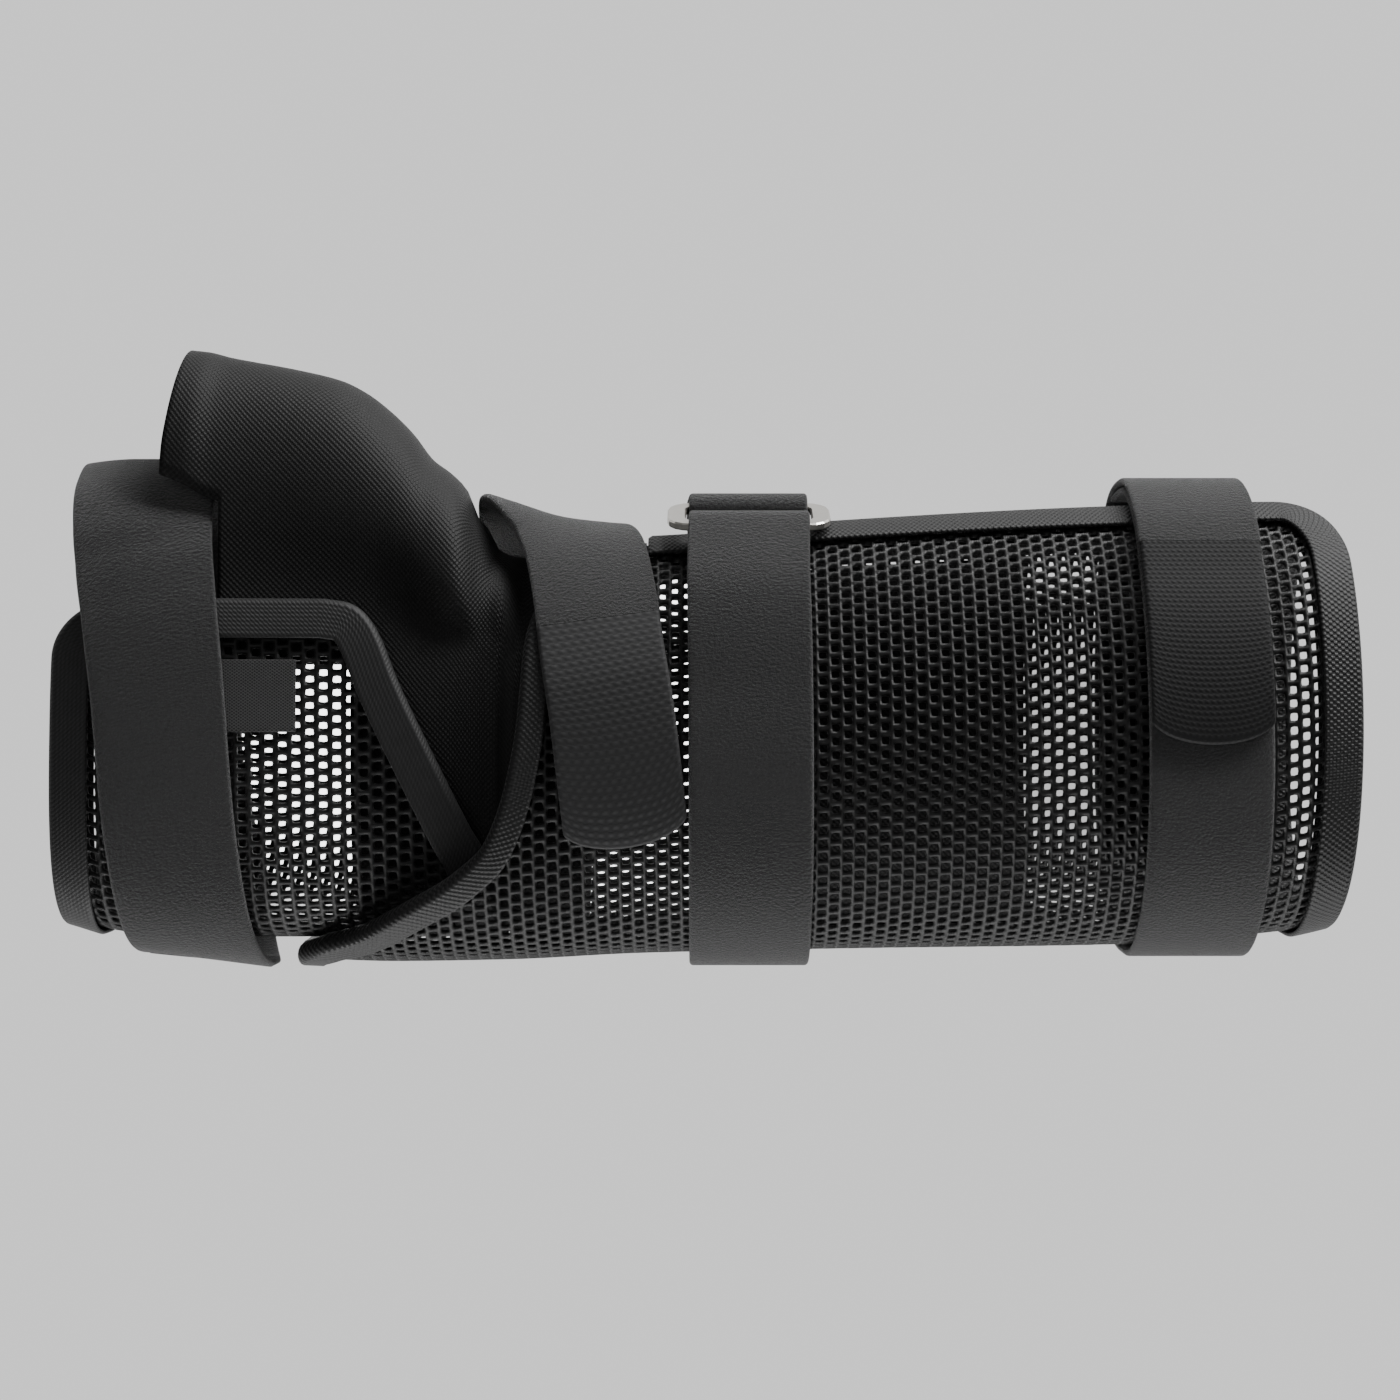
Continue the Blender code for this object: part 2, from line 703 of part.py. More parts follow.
def build_sleeves(mesh_cloth, tape, coarse_tape):
    hand = hand_panel()
    forearm = forearm_panel()
    cloth("hand_mesh_shell", surface(hand.wall()), CLOTH, mesh_cloth)
    cloth("forearm_mesh_shell", surface(forearm.wall()), CLOTH, mesh_cloth)

    near, arm, far, thumb = hand.rim()
    rows = binding_rows(hand, near + arm + far + thumb, True, BINDING_WIDTH, 1)
    cloth("hand_binding", surface(rows, closed=True), TAPE, tape)

    near, arm, far, thumb = forearm.rim()
    first, last = near[0], far[-1]
    near = [(first[0] + SLIT_BINDING_NEAR_START, first[1])] + near[1:]
    far = far[:-2] + [(last[0] + SLIT_BINDING_FAR_START, last[1])]
    rows = binding_rows(forearm, near + arm + far, False, BINDING_WIDTH, 1)
    cloth("forearm_binding", surface(rows), TAPE, coarse_tape)
    rows = binding_rows(forearm, thumb, False, THUMB_BINDING_WIDTH, 1)
    cloth("thumb_edge_binding", surface(rows), TAPE, coarse_tape)


def guard_ring(along):
    """One closed section of the thumb guard, from the bottom line up the near wall and round."""
    x = GUARD_END + (GUARD_ARM_END - GUARD_END) * along
    row = [smooth_column(GUARD_ROWS, name, along) for name in GuardRow._fields[1:]]
    crest, spring = row[0] * GUARD_HEIGHT, row[1] * GUARD_HEIGHT
    near, far = row[2] * GUARD_DEPTH, row[3] * GUARD_DEPTH

    # Inside the hand sleeve up to its rim, then free walls up to the spring line
    sides = []
    for far_side, wall_z in ((False, near), (True, far)):
        low = HAND.girth(x) / 2
        high = HAND.down_to(x, GUARD_SKIRT, far=far_side)
        side = [HAND.place(x, way, -GUARD_UNDER) for way in spread(low, high, GUARD_LEG_STEPS)]
        rim = HAND.down_to(x, min(GUARD_RIM, (GUARD_SKIRT + spring) / 2), far=far_side)
        side.append(HAND.place(x, rim, -GUARD_UNDER))
        side.append(Vector((x, spring, wall_z)))
        sides.append(side)
    lean = GUARD_END_LEAN * max(0.0, 1 - along / GUARD_LEAN_LENGTH)
    arch = []
    for turn in spread(0, pi, GUARD_ARCH_STEPS)[1:-1]:
        side = 1 if cos(turn) > 0 else -1
        up = sin(turn) ** (2 / GUARD_ROUND)
        out = side * abs(cos(turn)) ** (2 / GUARD_ROUND)
        z = (near + far) / 2 + (near - far) / 2 * out
        arch.append(Vector((x + lean * up, spring + (crest - spring) * up, z)))
    free = sides[0] + arch + sides[1][::-1]

    # Towards the forearm the sheet runs inside the forearm sleeve
    inside = smooth_step((x - GUARD_JOINS) / (GUARD_INSIDE - GUARD_JOINS))
    if inside == 0:
        return free
    held = []
    for step, point in enumerate(free):
        share = GUARD_TURNS[step]
        held.append(FOREARM.place(x, FOREARM.girth(x) * share, -GUARD_UNDER))
    return [point.lerp(other, inside) for point, other in zip(free, held)]


def guard_turns():
    """Where each point of a guard section lies round the forearm, as shares of the girth."""
    low = spread(0.5, GUARD_SKIRT_SHARE, GUARD_LEG_STEPS)
    wall = spread(GUARD_SKIRT_SHARE, GUARD_SPRING_SHARE, GUARD_WALL_STEPS)[1:]
    arch = spread(GUARD_SPRING_SHARE, -GUARD_SPRING_SHARE, GUARD_ARCH_STEPS)[1:-1]
    near = low + wall
    return near + arch + [-share for share in near[::-1]]


def build_thumb_guard(material):
    alongs = [row.along for row in GUARD_ROWS]
    length = GUARD_ARM_END - GUARD_END
    notch = (GUARD_NOTCH - GUARD_END) / length
    band = (GUARD_BAND - GUARD_END) / length
    alongs = sorted(alongs + [notch, band])
    alongs = [a for i, a in enumerate(alongs) if i == 0 or a - alongs[i - 1] > 0.008]
    notch_row = min(range(len(alongs)), key=lambda i: abs(alongs[i] - notch))
    band_row = min(range(len(alongs)), key=lambda i: abs(alongs[i] - band))
    rows = [guard_ring(along) for along in alongs]
    last = len(rows[0]) - 1

    def keep(i, j):
        from_bottom = min(j, last - 1 - j)
        if from_bottom < GUARD_LEG_STEPS:
            return i >= band_row
        if from_bottom < GUARD_LEG_STEPS + GUARD_WALL_STEPS:
            return i >= notch_row
        return True

    cloth("thumb_guard", surface(rows, keep=keep), LINER, material)


def wrist_strap_rest(share):
    """The wrist strap passes over the bindings near the top, and comes down on the cloth below."""
    down = min(1.0, max(0.0, (share - WRIST_OVER_EDGE) / WRIST_COMES_DOWN))
    return STRAP_OVER_BINDING + (STRAP_LIFT - STRAP_OVER_BINDING) * down


def build_straps(strap, hooks):
    rows = strap_rows(
        HAND, HAND_STRAP_ROWS, HAND_STRAP_X, HAND_STRAP_WIDTH,
        -0.5, 0.5, HAND_STRAP_STEPS, lambda share: STRAP_OVER_BINDING,
    )
    cloth("hand_strap", surface(rows[:-1], closed=True), STRAP, strap)

    girth = FOREARM.girth(WRIST_STRAP_X)
    tab_start = WRIST_TAB_START / girth
    tab_end = (WRIST_TAB_START + WRIST_TAB_LENGTH) / girth
    seam = STRAP_SEAM / girth
    rows = strap_rows(
        FOREARM, WRIST_STRAP_ROWS, WRIST_STRAP_X, STRAP_WIDTH,
        -WRIST_STRAP_FAR_END / girth, tab_start - seam, WRIST_STRAP_STEPS, wrist_strap_rest,
    )
    cloth("wrist_strap", surface(rows), STRAP, strap)
    rows = strap_rows(
        FOREARM, WRIST_STRAP_ROWS, WRIST_STRAP_X, STRAP_WIDTH,
        tab_start, tab_end, TAB_STEPS, wrist_strap_rest, TAB_SIDES,
    )
    cloth("wrist_strap_hook_tab", surface(rounded_tab(rows, TAB_NOSE)), STRAP, hooks)

    x = CENTRE_STRAP_X
    girth = FOREARM.girth(x)
    join = CENTRE_STRAP_JOIN / girth
    leave = CENTRE_NEAR_FOLD + CENTRE_FOLD_LEAVES
    line = (
        layer_line(CENTRE_NEAR_INNER, x, CENTRE_NEAR_FOLD + CENTRE_FOLD_LENGTH / girth, leave, FOLD_STEPS)
        + bar_fold(True)[::-1]
        + layer_line(CENTRE_NEAR_OUTER, x, leave, join, CENTRE_NEAR_STEPS)
    )
    cloth("centre_strap_near", surface(widened(line, STRAP_WIDTH)), STRAP, strap)
    end = 1 - join - 2 * GAP / girth
    leave = CENTRE_FAR_FOLD + CENTRE_FOLD_LEAVES
    line = (
        far_layer_line(CENTRE_FAR_INNER, x, CENTRE_FAR_FOLD + CENTRE_FOLD_LENGTH / girth, leave, FOLD_STEPS)
        + bar_fold(False)[::-1]
        + far_layer_line(CENTRE_FAR_OUTER, x, leave, end, CENTRE_FAR_STEPS)
    )
    cloth("centre_strap_far", surface(widened(line, STRAP_WIDTH)), STRAP, strap)

    x = FOREARM_STRAP_X
    girth = FOREARM.girth(x)
    tab_start = 1 + FOREARM_TAB_START / girth
    tab_end = tab_start + FOREARM_TAB_LENGTH / girth
    start, end = FOREARM_STRAP_LAYERS[0].round, tab_start - STRAP_SEAM / girth
    line = layer_line(FOREARM_STRAP_LAYERS, x, start, end, FOREARM_STRAP_STEPS)
    cloth("forearm_strap", surface(widened(line, STRAP_WIDTH)), STRAP, strap)
    line = layer_line(FOREARM_STRAP_LAYERS, x, tab_start, tab_end, TAB_STEPS)
    rows = [
        [a.lerp(b, (side + 1) / 2) for side in TAB_SIDES]
        for a, b in widened(line, FOREARM_TAB_WIDTH)
    ]
    cloth("forearm_strap_hook_tab", surface(rounded_tab(rows, TAB_NOSE)), STRAP, hooks)


def rounded_tab(rows, nose):
    """A tab's rows with its free end drawn back towards the two edges, so that the end is round."""
    shaped = []
    last = len(rows) - 1
    length = sum((b[0] - a[0]).length for a, b in zip(rows, rows[1:]))
    for i, row in enumerate(rows):
        before = rows[max(i - 1, 0)]
        pull = nose / length * last * (i / last) ** 2
        shaped.append([
            point.lerp(before[k], pull * (1 - (1 - TAB_SIDES[k] ** 2) ** 0.5))
            for k, point in enumerate(row)
        ])
    return shaped


def build_ring(metal):
    """A flat ring: a rounded plate outline with a slot, lying across the slit."""
    curve = bpy.data.curves.new("strap_ring", "CURVE")
    curve.dimensions = "2D"
    curve.fill_mode = "BOTH"
    curve.extrude = RING_THICKNESS / 2 - RING_EDGE
    curve.bevel_depth = RING_EDGE
    curve.bevel_resolution = 0
    curve.offset = -RING_EDGE
    slot_width = STRAP_WIDTH + 3 * GAP
    slot_depth = RING_DEPTH - 2 * RING_BAR
    for width, depth, corner in (
        (RING_WIDTH, RING_DEPTH, RING_CORNER),
        (slot_width, slot_depth, RING_CORNER - RING_BAR),
    ):
        outline = rounded_rectangle(width, depth, corner)
        spline = curve.splines.new("POLY")
        spline.points.add(len(outline) - 1)
        for point, (x, y) in zip(spline.points, outline):
            point.co = (x, y, 0, 1)
        spline.use_cyclic_u = True
    flat = bpy.data.objects.new("ring_outline", curve)
    bpy.context.scene.collection.objects.link(flat)
    graph = bpy.context.evaluated_depsgraph_get()
    mesh = bpy.data.meshes.new_from_object(flat.evaluated_get(graph))
    bpy.data.objects.remove(flat)
    made = bmesh.new()
    made.from_mesh(mesh)
    bmesh.ops.remove_doubles(made, verts=made.verts, dist=MERGE)
    made.to_mesh(mesh)
    made.free()
    ring = bpy.data.objects.new("strap_ring", mesh)
    mesh.materials.clear()
    mesh.materials.append(metal)
    mesh.shade_smooth()
    mesh.set_sharp_from_angle(angle=SHARP)
    place = Matrix.Translation(ring_middle())
    ring.matrix_world = place @ Matrix.Rotation(pi / 2 + RING_TILT, 4, "X")
    PARTS.objects.link(ring)
    ring.parent = BRACE


def rounded_rectangle(width, depth, corner):
    points = []
    for quarter, (sx, sy) in enumerate(((1, 1), (-1, 1), (-1, -1), (1, -1))):
        for turn in spread(quarter * pi / 2, (quarter + 1) * pi / 2, CURVE_STEPS):
            x = sx * (width / 2 - corner) + corner * cos(turn)
            y = sy * (depth / 2 - corner) + corner * sin(turn)
            points.append((x, y))
    return points


def build_patches(hooks, lining):
    lift = CLOTH / 2 + GAP + PATCH / 2
    rows = []
    for x in spread(PATCH_END - PATCH_LENGTH, PATCH_END, PATCH_STEPS):
        top = HAND.down_to(x, PATCH_TOP)
        rows.append([HAND.place(x, top + step, lift) for step in spread(0, PATCH_WIDTH, PATCH_STEPS)])
    cloth("hand_hook_patch", surface(rows), PATCH, hooks)

    rows = []
    for x in spread(POCKET_START, POCKET_END, POCKET_STEPS):
        low = FOREARM.girth(x) / 2 + POCKET_BELOW
        high = FOREARM.girth(x) - POCKET_ABOVE
        rows.append([FOREARM.place(x, way, -POCKET_LIFT) for way in spread(low, high, POCKET_ROWS)])
    cloth("stay_pocket", surface(rows), LINER, lining)


def centre_on_floor():
    """Moves the whole brace so that its box stands on the origin by its bottom centre."""
    bpy.context.view_layer.update()
    graph = bpy.context.evaluated_depsgraph_get()
    points = []
    for piece in PARTS.objects:
        if piece.type != "MESH":
            continue
        shape = piece.evaluated_get(graph)
        points += [shape.matrix_world @ Vector(corner) for corner in shape.bound_box]
    low = Vector(min(p[i] for p in points) for i in range(3))
    high = Vector(max(p[i] for p in points) for i in range(3))
    BRACE.location = (-(low.x + high.x) / 2, -(low.y + high.y) / 2, -low.z)


GUARD_TURNS = guard_turns()

for leftover in list(bpy.data.objects):
    bpy.data.objects.remove(leftover)
PARTS = new_collection("wrist_brace")
BRACE = bpy.data.objects.new("brace_frame", None)
PARTS.objects.link(BRACE)

MESH_CLOTH = new_material("black mesh cloth", (0.012, 0.012, 0.012), 0.0, 0.7)
FINE_TAPE = new_material("fine ribbed tape", (0.022, 0.022, 0.023), 0.0, 0.75)
COARSE_TAPE = new_material("coarse woven tape", (0.018, 0.018, 0.018), 0.0, 0.75)
LOOP_STRAP = new_material("brushed loop strap", (0.026, 0.026, 0.027), 0.0, 0.9)
HOOK_FABRIC = new_material("hook fabric", (0.020, 0.020, 0.020), 0.0, 0.7)
WOVEN_SHEET = new_material("smooth woven sheet", (0.016, 0.016, 0.017), 0.0, 0.65)
RING_METAL = new_material("satin metal", (0.62, 0.61, 0.58), 1.0, 0.35)

build_sleeves(MESH_CLOTH, FINE_TAPE, COARSE_TAPE)
build_thumb_guard(WOVEN_SHEET)
build_straps(LOOP_STRAP, HOOK_FABRIC)
build_ring(RING_METAL)
build_patches(HOOK_FABRIC, WOVEN_SHEET)
centre_on_floor()
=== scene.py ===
import logging
from dataclasses import dataclass, field
from enum import Enum
from math import pi, radians
from typing import Any, Callable, NamedTuple, Sequence

import bpy
import numpy as np
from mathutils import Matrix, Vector


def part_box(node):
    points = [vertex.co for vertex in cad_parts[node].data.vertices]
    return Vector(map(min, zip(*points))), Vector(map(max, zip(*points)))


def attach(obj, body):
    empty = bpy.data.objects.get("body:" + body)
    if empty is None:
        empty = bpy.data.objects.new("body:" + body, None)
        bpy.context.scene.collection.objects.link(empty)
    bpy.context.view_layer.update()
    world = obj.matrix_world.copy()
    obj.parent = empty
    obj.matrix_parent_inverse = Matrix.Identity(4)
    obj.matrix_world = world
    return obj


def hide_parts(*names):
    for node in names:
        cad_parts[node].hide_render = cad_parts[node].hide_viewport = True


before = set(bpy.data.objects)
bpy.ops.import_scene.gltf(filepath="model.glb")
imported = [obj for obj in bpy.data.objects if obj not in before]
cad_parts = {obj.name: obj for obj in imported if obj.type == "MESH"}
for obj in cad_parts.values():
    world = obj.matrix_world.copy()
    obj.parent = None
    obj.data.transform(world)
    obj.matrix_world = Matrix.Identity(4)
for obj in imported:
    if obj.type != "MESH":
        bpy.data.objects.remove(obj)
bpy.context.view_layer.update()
LOG = logging.getLogger("wrist_brace")

MM = 0.001
BODY = "root"

# Cloth sizes and clearances, as in the solids
CLOTH = 1.4 * MM
TAPE = 1.0 * MM
STRAP = 1.6 * MM
LINER = 1.2 * MM
GAP = 0.4 * MM
BINDING_GAP = 0.6 * MM
BINDING_WIDTH = 7.0 * MM
FOLD_NOSE = 1.5 * MM
BINDING_LIFT = CLOTH / 2 + BINDING_GAP + TAPE / 2
BINDING_TOP = BINDING_LIFT + TAPE / 2
STRAP_LIFT = CLOTH / 2 + GAP + STRAP / 2
STRAP_OVER_BINDING = BINDING_TOP + GAP + STRAP / 2
GUARD_UNDER = BINDING_TOP + 2 * GAP + LINER / 2
SLEEVE_FLOOR = STRAP_LIFT + STRAP / 2
REST_PRESS = 0.3 * MM
STRAP_WIDTH = 25.0 * MM

# Cuts, ends and corners of the two sleeves. A corner's two sizes are along X and round the sleeve
SLIT_NEAR = 6.5 * MM
SLIT_FAR = 15.0 * MM
THUMB_CUT = 68.0 * MM
ARM_END_SLANT = 1.8 * MM
ARM_CORNER = (12.0 * MM, 18.0 * MM)
HAND_RIM_NEAR = 19.0 * MM
HAND_RIM_FAR = 15.0 * MM
HAND_CUT = 32.0 * MM
HAND_END_SLANT = 1.3 * MM
HAND_CORNER = (13.0 * MM, 12.0 * MM)

# The ring's middle, in the frame of the tables
RING_MIDDLE = (10.2 * MM, 38.4 * MM, 43.0 * MM)

# Distances between points
TAPE_FLANK_STEP = 0.8 * MM
TAPE_NOSE_STEPS = 9
STRAP_ACROSS_STEP = 1.0 * MM
FLAT_STRAP_ACROSS_STEP = 1.2 * MM
PATCH_STEP = 0.8 * MM
POCKET_STEP = 1.6 * MM

# Surface of a net for each square metre of its cloth, and the most of its rectangle that a cut cloth fills
NET_SURFACE = 1.2
MOST_OF_RECTANGLE = 0.98


class Section(NamedTuple):
    """A sleeve's section: shares of its length, height and depth."""

    along: float
    top: float
    bottom: float
    near: float
    far: float


class CutRow(NamedTuple):
    """A place on a cut edge: share of the way round, and how far the edge reaches."""

    round: float
    reach: float


class GuardRow(NamedTuple):
    """A section of the thumb guard, as shares of its length, height and depth."""

    along: float
    crest: float
    spring: float
    near: float
    far: float


class StrapRow(NamedTuple):
    """A place on a strap's line: share of the girth, shift, and how far each edge stands off."""

    round: float
    shift: float
    hand_edge: float
    arm_edge: float


class LayerRow(NamedTuple):
    """A place on a straight strap's line: share of the girth, and its stand-off."""

    round: float
    stand: float


FOREARM_SECTIONS = (
    Section(0.00, 0.363, 0.583, 1.000, 0.000),
    Section(0.09, 0.364, 0.591, 1.000, 0.000),
    Section(0.20, 0.365, 0.587, 1.000, 0.000),
    Section(0.33, 0.370, 0.572, 1.000, 0.000),
    Section(0.53, 0.408, 0.562, 1.000, 0.000),
    Section(0.77, 0.438, 0.554, 1.000, 0.000),
    Section(0.94, 0.449, 0.524, 0.997, 0.002),
    Section(1.00, 0.442, 0.494, 0.968, 0.030),
)
HAND_SECTIONS = (
    Section(0.00, 0.388, 0.525, 1.102, 0.340),
    Section(0.14, 0.412, 0.562, 1.136, 0.293),
    Section(0.53, 0.424, 0.578, 1.095, 0.154),
    Section(1.00, 0.424, 0.572, 1.052, 0.100),
)
THUMB_CUT_ROWS = (
    CutRow(0.000, 1.000), CutRow(0.100, 0.980), CutRow(0.160, 0.900), CutRow(0.200, 0.780),
    CutRow(0.250, 0.655), CutRow(0.315, 0.485), CutRow(0.372, 0.385), CutRow(0.478, 0.316),
    CutRow(0.584, 0.284), CutRow(0.710, 0.268), CutRow(0.805, 0.221), CutRow(0.880, 0.148),
    CutRow(0.950, 0.000),
)
HAND_EDGE_ROWS = (
    CutRow(0.00, 0.000), CutRow(0.24, 0.020), CutRow(0.36, 0.075), CutRow(0.43, 0.165),
    CutRow(0.57, 0.340), CutRow(0.80, 0.620), CutRow(0.92, 0.745), CutRow(0.965, 0.820),
    CutRow(0.99, 0.910), CutRow(1.00, 1.060),
)
GUARD_ROWS = (
    GuardRow(0.000, 1.000, 0.668, 1.000, 0.365),
    GuardRow(0.052, 0.995, 0.638, 0.998, 0.360),
    GuardRow(0.113, 0.982, 0.590, 0.975, 0.355),
    GuardRow(0.210, 0.966, 0.560, 0.960, 0.345),
    GuardRow(0.300, 0.947, 0.545, 0.955, 0.325),
    GuardRow(0.395, 0.920, 0.520, 0.955, 0.300),
    GuardRow(0.454, 0.886, 0.500, 0.955, 0.285),
    GuardRow(0.510, 0.836, 0.470, 0.955, 0.270),
    GuardRow(0.565, 0.772, 0.420, 0.960, 0.250),
    GuardRow(0.615, 0.695, 0.360, 0.975, 0.230),
    GuardRow(0.660, 0.655, 0.310, 0.990, 0.215),
    GuardRow(0.695, 0.612, 0.280, 0.995, 0.200),
    GuardRow(0.722, 0.532, 0.250, 0.970, 0.190),
    GuardRow(0.745, 0.500, 0.220, 0.930, 0.180),
    GuardRow(0.775, 0.435, 0.200, 0.915, 0.170),
    GuardRow(0.820, 0.415, 0.180, 0.930, 0.165),
    GuardRow(0.890, 0.415, 0.165, 0.960, 0.160),
    GuardRow(1.000, 0.425, 0.165, 0.985, 0.160),
)
HAND_STRAP_ROWS = (
    StrapRow(-0.500, -0.08, 0.02, 0.12),
    StrapRow(-0.400, -0.32, 0.01, 0.02),
    StrapRow(-0.260, -0.55, 0.00, 0.00),
    StrapRow(-0.150, -0.56, 0.00, 0.00),
    StrapRow(-0.100, -0.53, 0.03, 0.03),
    StrapRow(-0.060, -0.47, 0.22, 0.22),
    StrapRow(-0.040, -0.49, 0.36, 0.36),
    StrapRow(-0.020, -0.50, 0.46, 0.44),
    StrapRow(0.000, -0.51, 0.46, 0.42),
    StrapRow(0.030, -0.51, 0.35, 0.32),
    StrapRow(0.060, -0.50, 0.17, 0.15),
    StrapRow(0.085, -0.48, 0.06, 0.06),
    StrapRow(0.130, -0.42, 0.01, 0.00),
    StrapRow(0.200, -0.34, 0.00, 0.00),
    StrapRow(0.330, -0.25, 0.00, 0.00),
    StrapRow(0.420, -0.17, 0.01, 0.02),
    StrapRow(0.500, -0.08, 0.02, 0.12),
)
WRIST_STRAP_ROWS = (
    StrapRow(-0.155, -0.74, 0.03, 0.00),
    StrapRow(-0.110, -0.74, 0.11, 0.00),
    StrapRow(-0.055, -0.72, 0.21, -0.02),
    StrapRow(-0.025, -0.68, 0.26, -0.06),
    StrapRow(0.000, -0.54, 0.23, -0.10),
    StrapRow(0.025, -0.37, 0.15, -0.03),
    StrapRow(0.060, -0.23, 0.08, 0.02),
    StrapRow(0.110, -0.13, 0.02, 0.00),
    StrapRow(0.155, -0.07, 0.00, 0.00),
    StrapRow(0.205, 0.01, 0.00, 0.00),
    StrapRow(0.340, 0.17, 0.00, 0.00),
)
CENTRE_NEAR_OUTER = (
    LayerRow(0.085, 0.240), LayerRow(0.120, 0.180), LayerRow(0.160, 0.100), LayerRow(0.200, 0.020),
    LayerRow(0.400, 0.010), LayerRow(0.480, 0.056), LayerRow(0.540, 0.056), LayerRow(0.620, 0.000),
)
CENTRE_NEAR_INNER = (LayerRow(0.085, 0.122), LayerRow(0.120, 0.080), LayerRow(0.165, 0.012))
CENTRE_FAR_OUTER = (
    LayerRow(0.025, 0.240), LayerRow(0.060, 0.212), LayerRow(0.090, 0.170), LayerRow(0.120, 0.112),
    LayerRow(0.150, 0.055), LayerRow(0.190, 0.010), LayerRow(0.220, 0.000), LayerRow(0.360, 0.000),
)
CENTRE_FAR_INNER = (LayerRow(0.025, 0.125), LayerRow(0.060, 0.108), LayerRow(0.090, 0.084))
FOREARM_STRAP_LAYERS = (
    LayerRow(-0.040, 0.070), LayerRow(0.060, 0.070), LayerRow(0.110, 0.012), LayerRow(0.400, 0.012),
    LayerRow(0.480, 0.056), LayerRow(0.540, 0.050), LayerRow(0.620, 0.000), LayerRow(0.840, 0.000),
    LayerRow(0.910, 0.080), LayerRow(0.960, 0.149), LayerRow(1.000, 0.149), LayerRow(1.030, 0.149),
    LayerRow(1.060, 0.146), LayerRow(1.120, 0.084), LayerRow(1.300, 0.084),
)


class Slot(Enum):
    """The record's material slots."""

    MESH = "mesh_cloth"
    FINE_TAPE = "fine_tape"
    COARSE_TAPE = "coarse_tape"
    LOOP = "loop_strap"
    HOOK = "hook_fabric"
    SHEET = "woven_sheet"


class Side(Enum):
    """The two walls of a sleeve that lies on its side."""

    NEAR = "near"
    FAR = "far"


def cubic(t: Any, width: Any, ends: tuple[Any, Any], slopes: tuple[Any, Any]) -> np.ndarray:
    """A cubic curve between two ends.

    Args:
        t: Where on the curve, from 0 to 1.
        width: The distance between the ends.
        ends: The values at both ends.
        slopes: The slopes at both ends.

    Returns:
        The curve's values.
    """
    return (
        (2 * t**3 - 3 * t**2 + 1) * ends[0]
        + (t**3 - 2 * t**2 + t) * width * slopes[0]
        + (3 * t**2 - 2 * t**3) * ends[1]
        + (t**3 - t**2) * width * slopes[1]
    )


def read_column(rows: Sequence[Any], name: str, at: Any) -> np.ndarray:
    """Values of one column of a table, on a curve through its rows without overshoot.

    Args:
        rows: The table, whose first column says where each row is.
        name: The column.
        at: Where to read it.

    Returns:
        One value for each place.
    """
    places = np.array([row[0] for row in rows])
    values = np.array([getattr(row, name) for row in rows])
    width = np.diff(places)
    slope = np.diff(values) / width
    before, after = slope[:-1], slope[1:]
    total = np.where(before * after > 0, before + after, 1.0)
    inner = np.where(before * after > 0, 2 * before * after / total, 0.0)
    tangent = np.concatenate([slope[:1], inner, slope[-1:]])
    at = np.clip(np.asarray(at, float), places[0], places[-1])
    i = np.clip(np.searchsorted(places, at, side="right") - 1, 0, len(width) - 1)
    t = (at - places[i]) / width[i]
    return cubic(t, width[i], (values[i], values[i + 1]), (tangent[i], tangent[i + 1]))


def smooth_step(value: Any) -> np.ndarray:
    """A soft step from 0 to 1.

    Args:
        value: Where on the step, from 0 to 1.

    Returns:
        The height of the step there.
    """
    value = np.clip(value, 0.0, 1.0)
    return value * value * (3 - 2 * value)


def grid_normals(points: np.ndarray, closed: bool = False) -> np.ndarray:
    """Unit normals of a grid of points, from rows across columns.

    Args:
        points: Rows by columns by 3.
        closed: Whether the last row meets the first.

    Returns:
        A normal for each point.
    """
    if closed:
        along = np.roll(points, -1, 0) - np.roll(points, 1, 0)
    else:
        along = np.gradient(points, axis=0)
    across = np.gradient(points, axis=1)
    normal = np.cross(along, across)
    return normal / np.maximum(np.linalg.norm(normal, axis=-1, keepdims=True), 1e-12)


def even_line(points: np.ndarray, step: float, closed: bool = False) -> np.ndarray:
    """Points at even distances on a smooth curve through a line's points.

    Args:
        points: The line's points.
        step: The distance wanted between them.
        closed: Whether the line's end meets its start.

    Returns:
        The new points, without the repeated one where it is closed.
    """
    if closed:
        points = np.concatenate([points, points[:1]])
    points = points[np.concatenate([[True], np.linalg.norm(np.diff(points, axis=0), axis=1) > 1e-7])]
    gone = np.concatenate([[0], np.cumsum(np.linalg.norm(np.diff(points, axis=0), axis=1))])
    if closed:
        tangent = np.gradient(np.concatenate([points[-2:-1], points, points[1:2]]), axis=0)[1:-1]
        space = np.gradient(np.concatenate([[-gone[-1] + gone[-2]], gone, [gone[-1] + gone[1]]]))[1:-1]
    else:
        tangent, space = np.gradient(points, axis=0), np.gradient(gone)
    tangent = tangent / space[:, None]
    count = max(int(round(gone[-1] / step)), 3)
    at = np.linspace(0, gone[-1], count + 1)
    i = np.clip(np.searchsorted(gone, at, side="right") - 1, 0, len(gone) - 2)
    width = (gone[i + 1] - gone[i])[:, None]
    t = (at - gone[i])[:, None] / width
    found = cubic(t, width, (points[i], points[i + 1]), (tangent[i], tangent[i + 1]))
    return found[:-1] if closed else found


def softened(points: np.ndarray, times: int) -> np.ndarray:
    """A line or grid with its rows eased towards their neighbours, apart from the end rows.

    Args:
        points: Rows of points.
        times: How often.

    Returns:
        The eased rows.
    """
    points = np.array(points, float)
    for _ in range(times):
        mean = (points[:-2] + points[2:]) / 2
        points[1:-1] = (points[1:-1] + mean) / 2
    return points


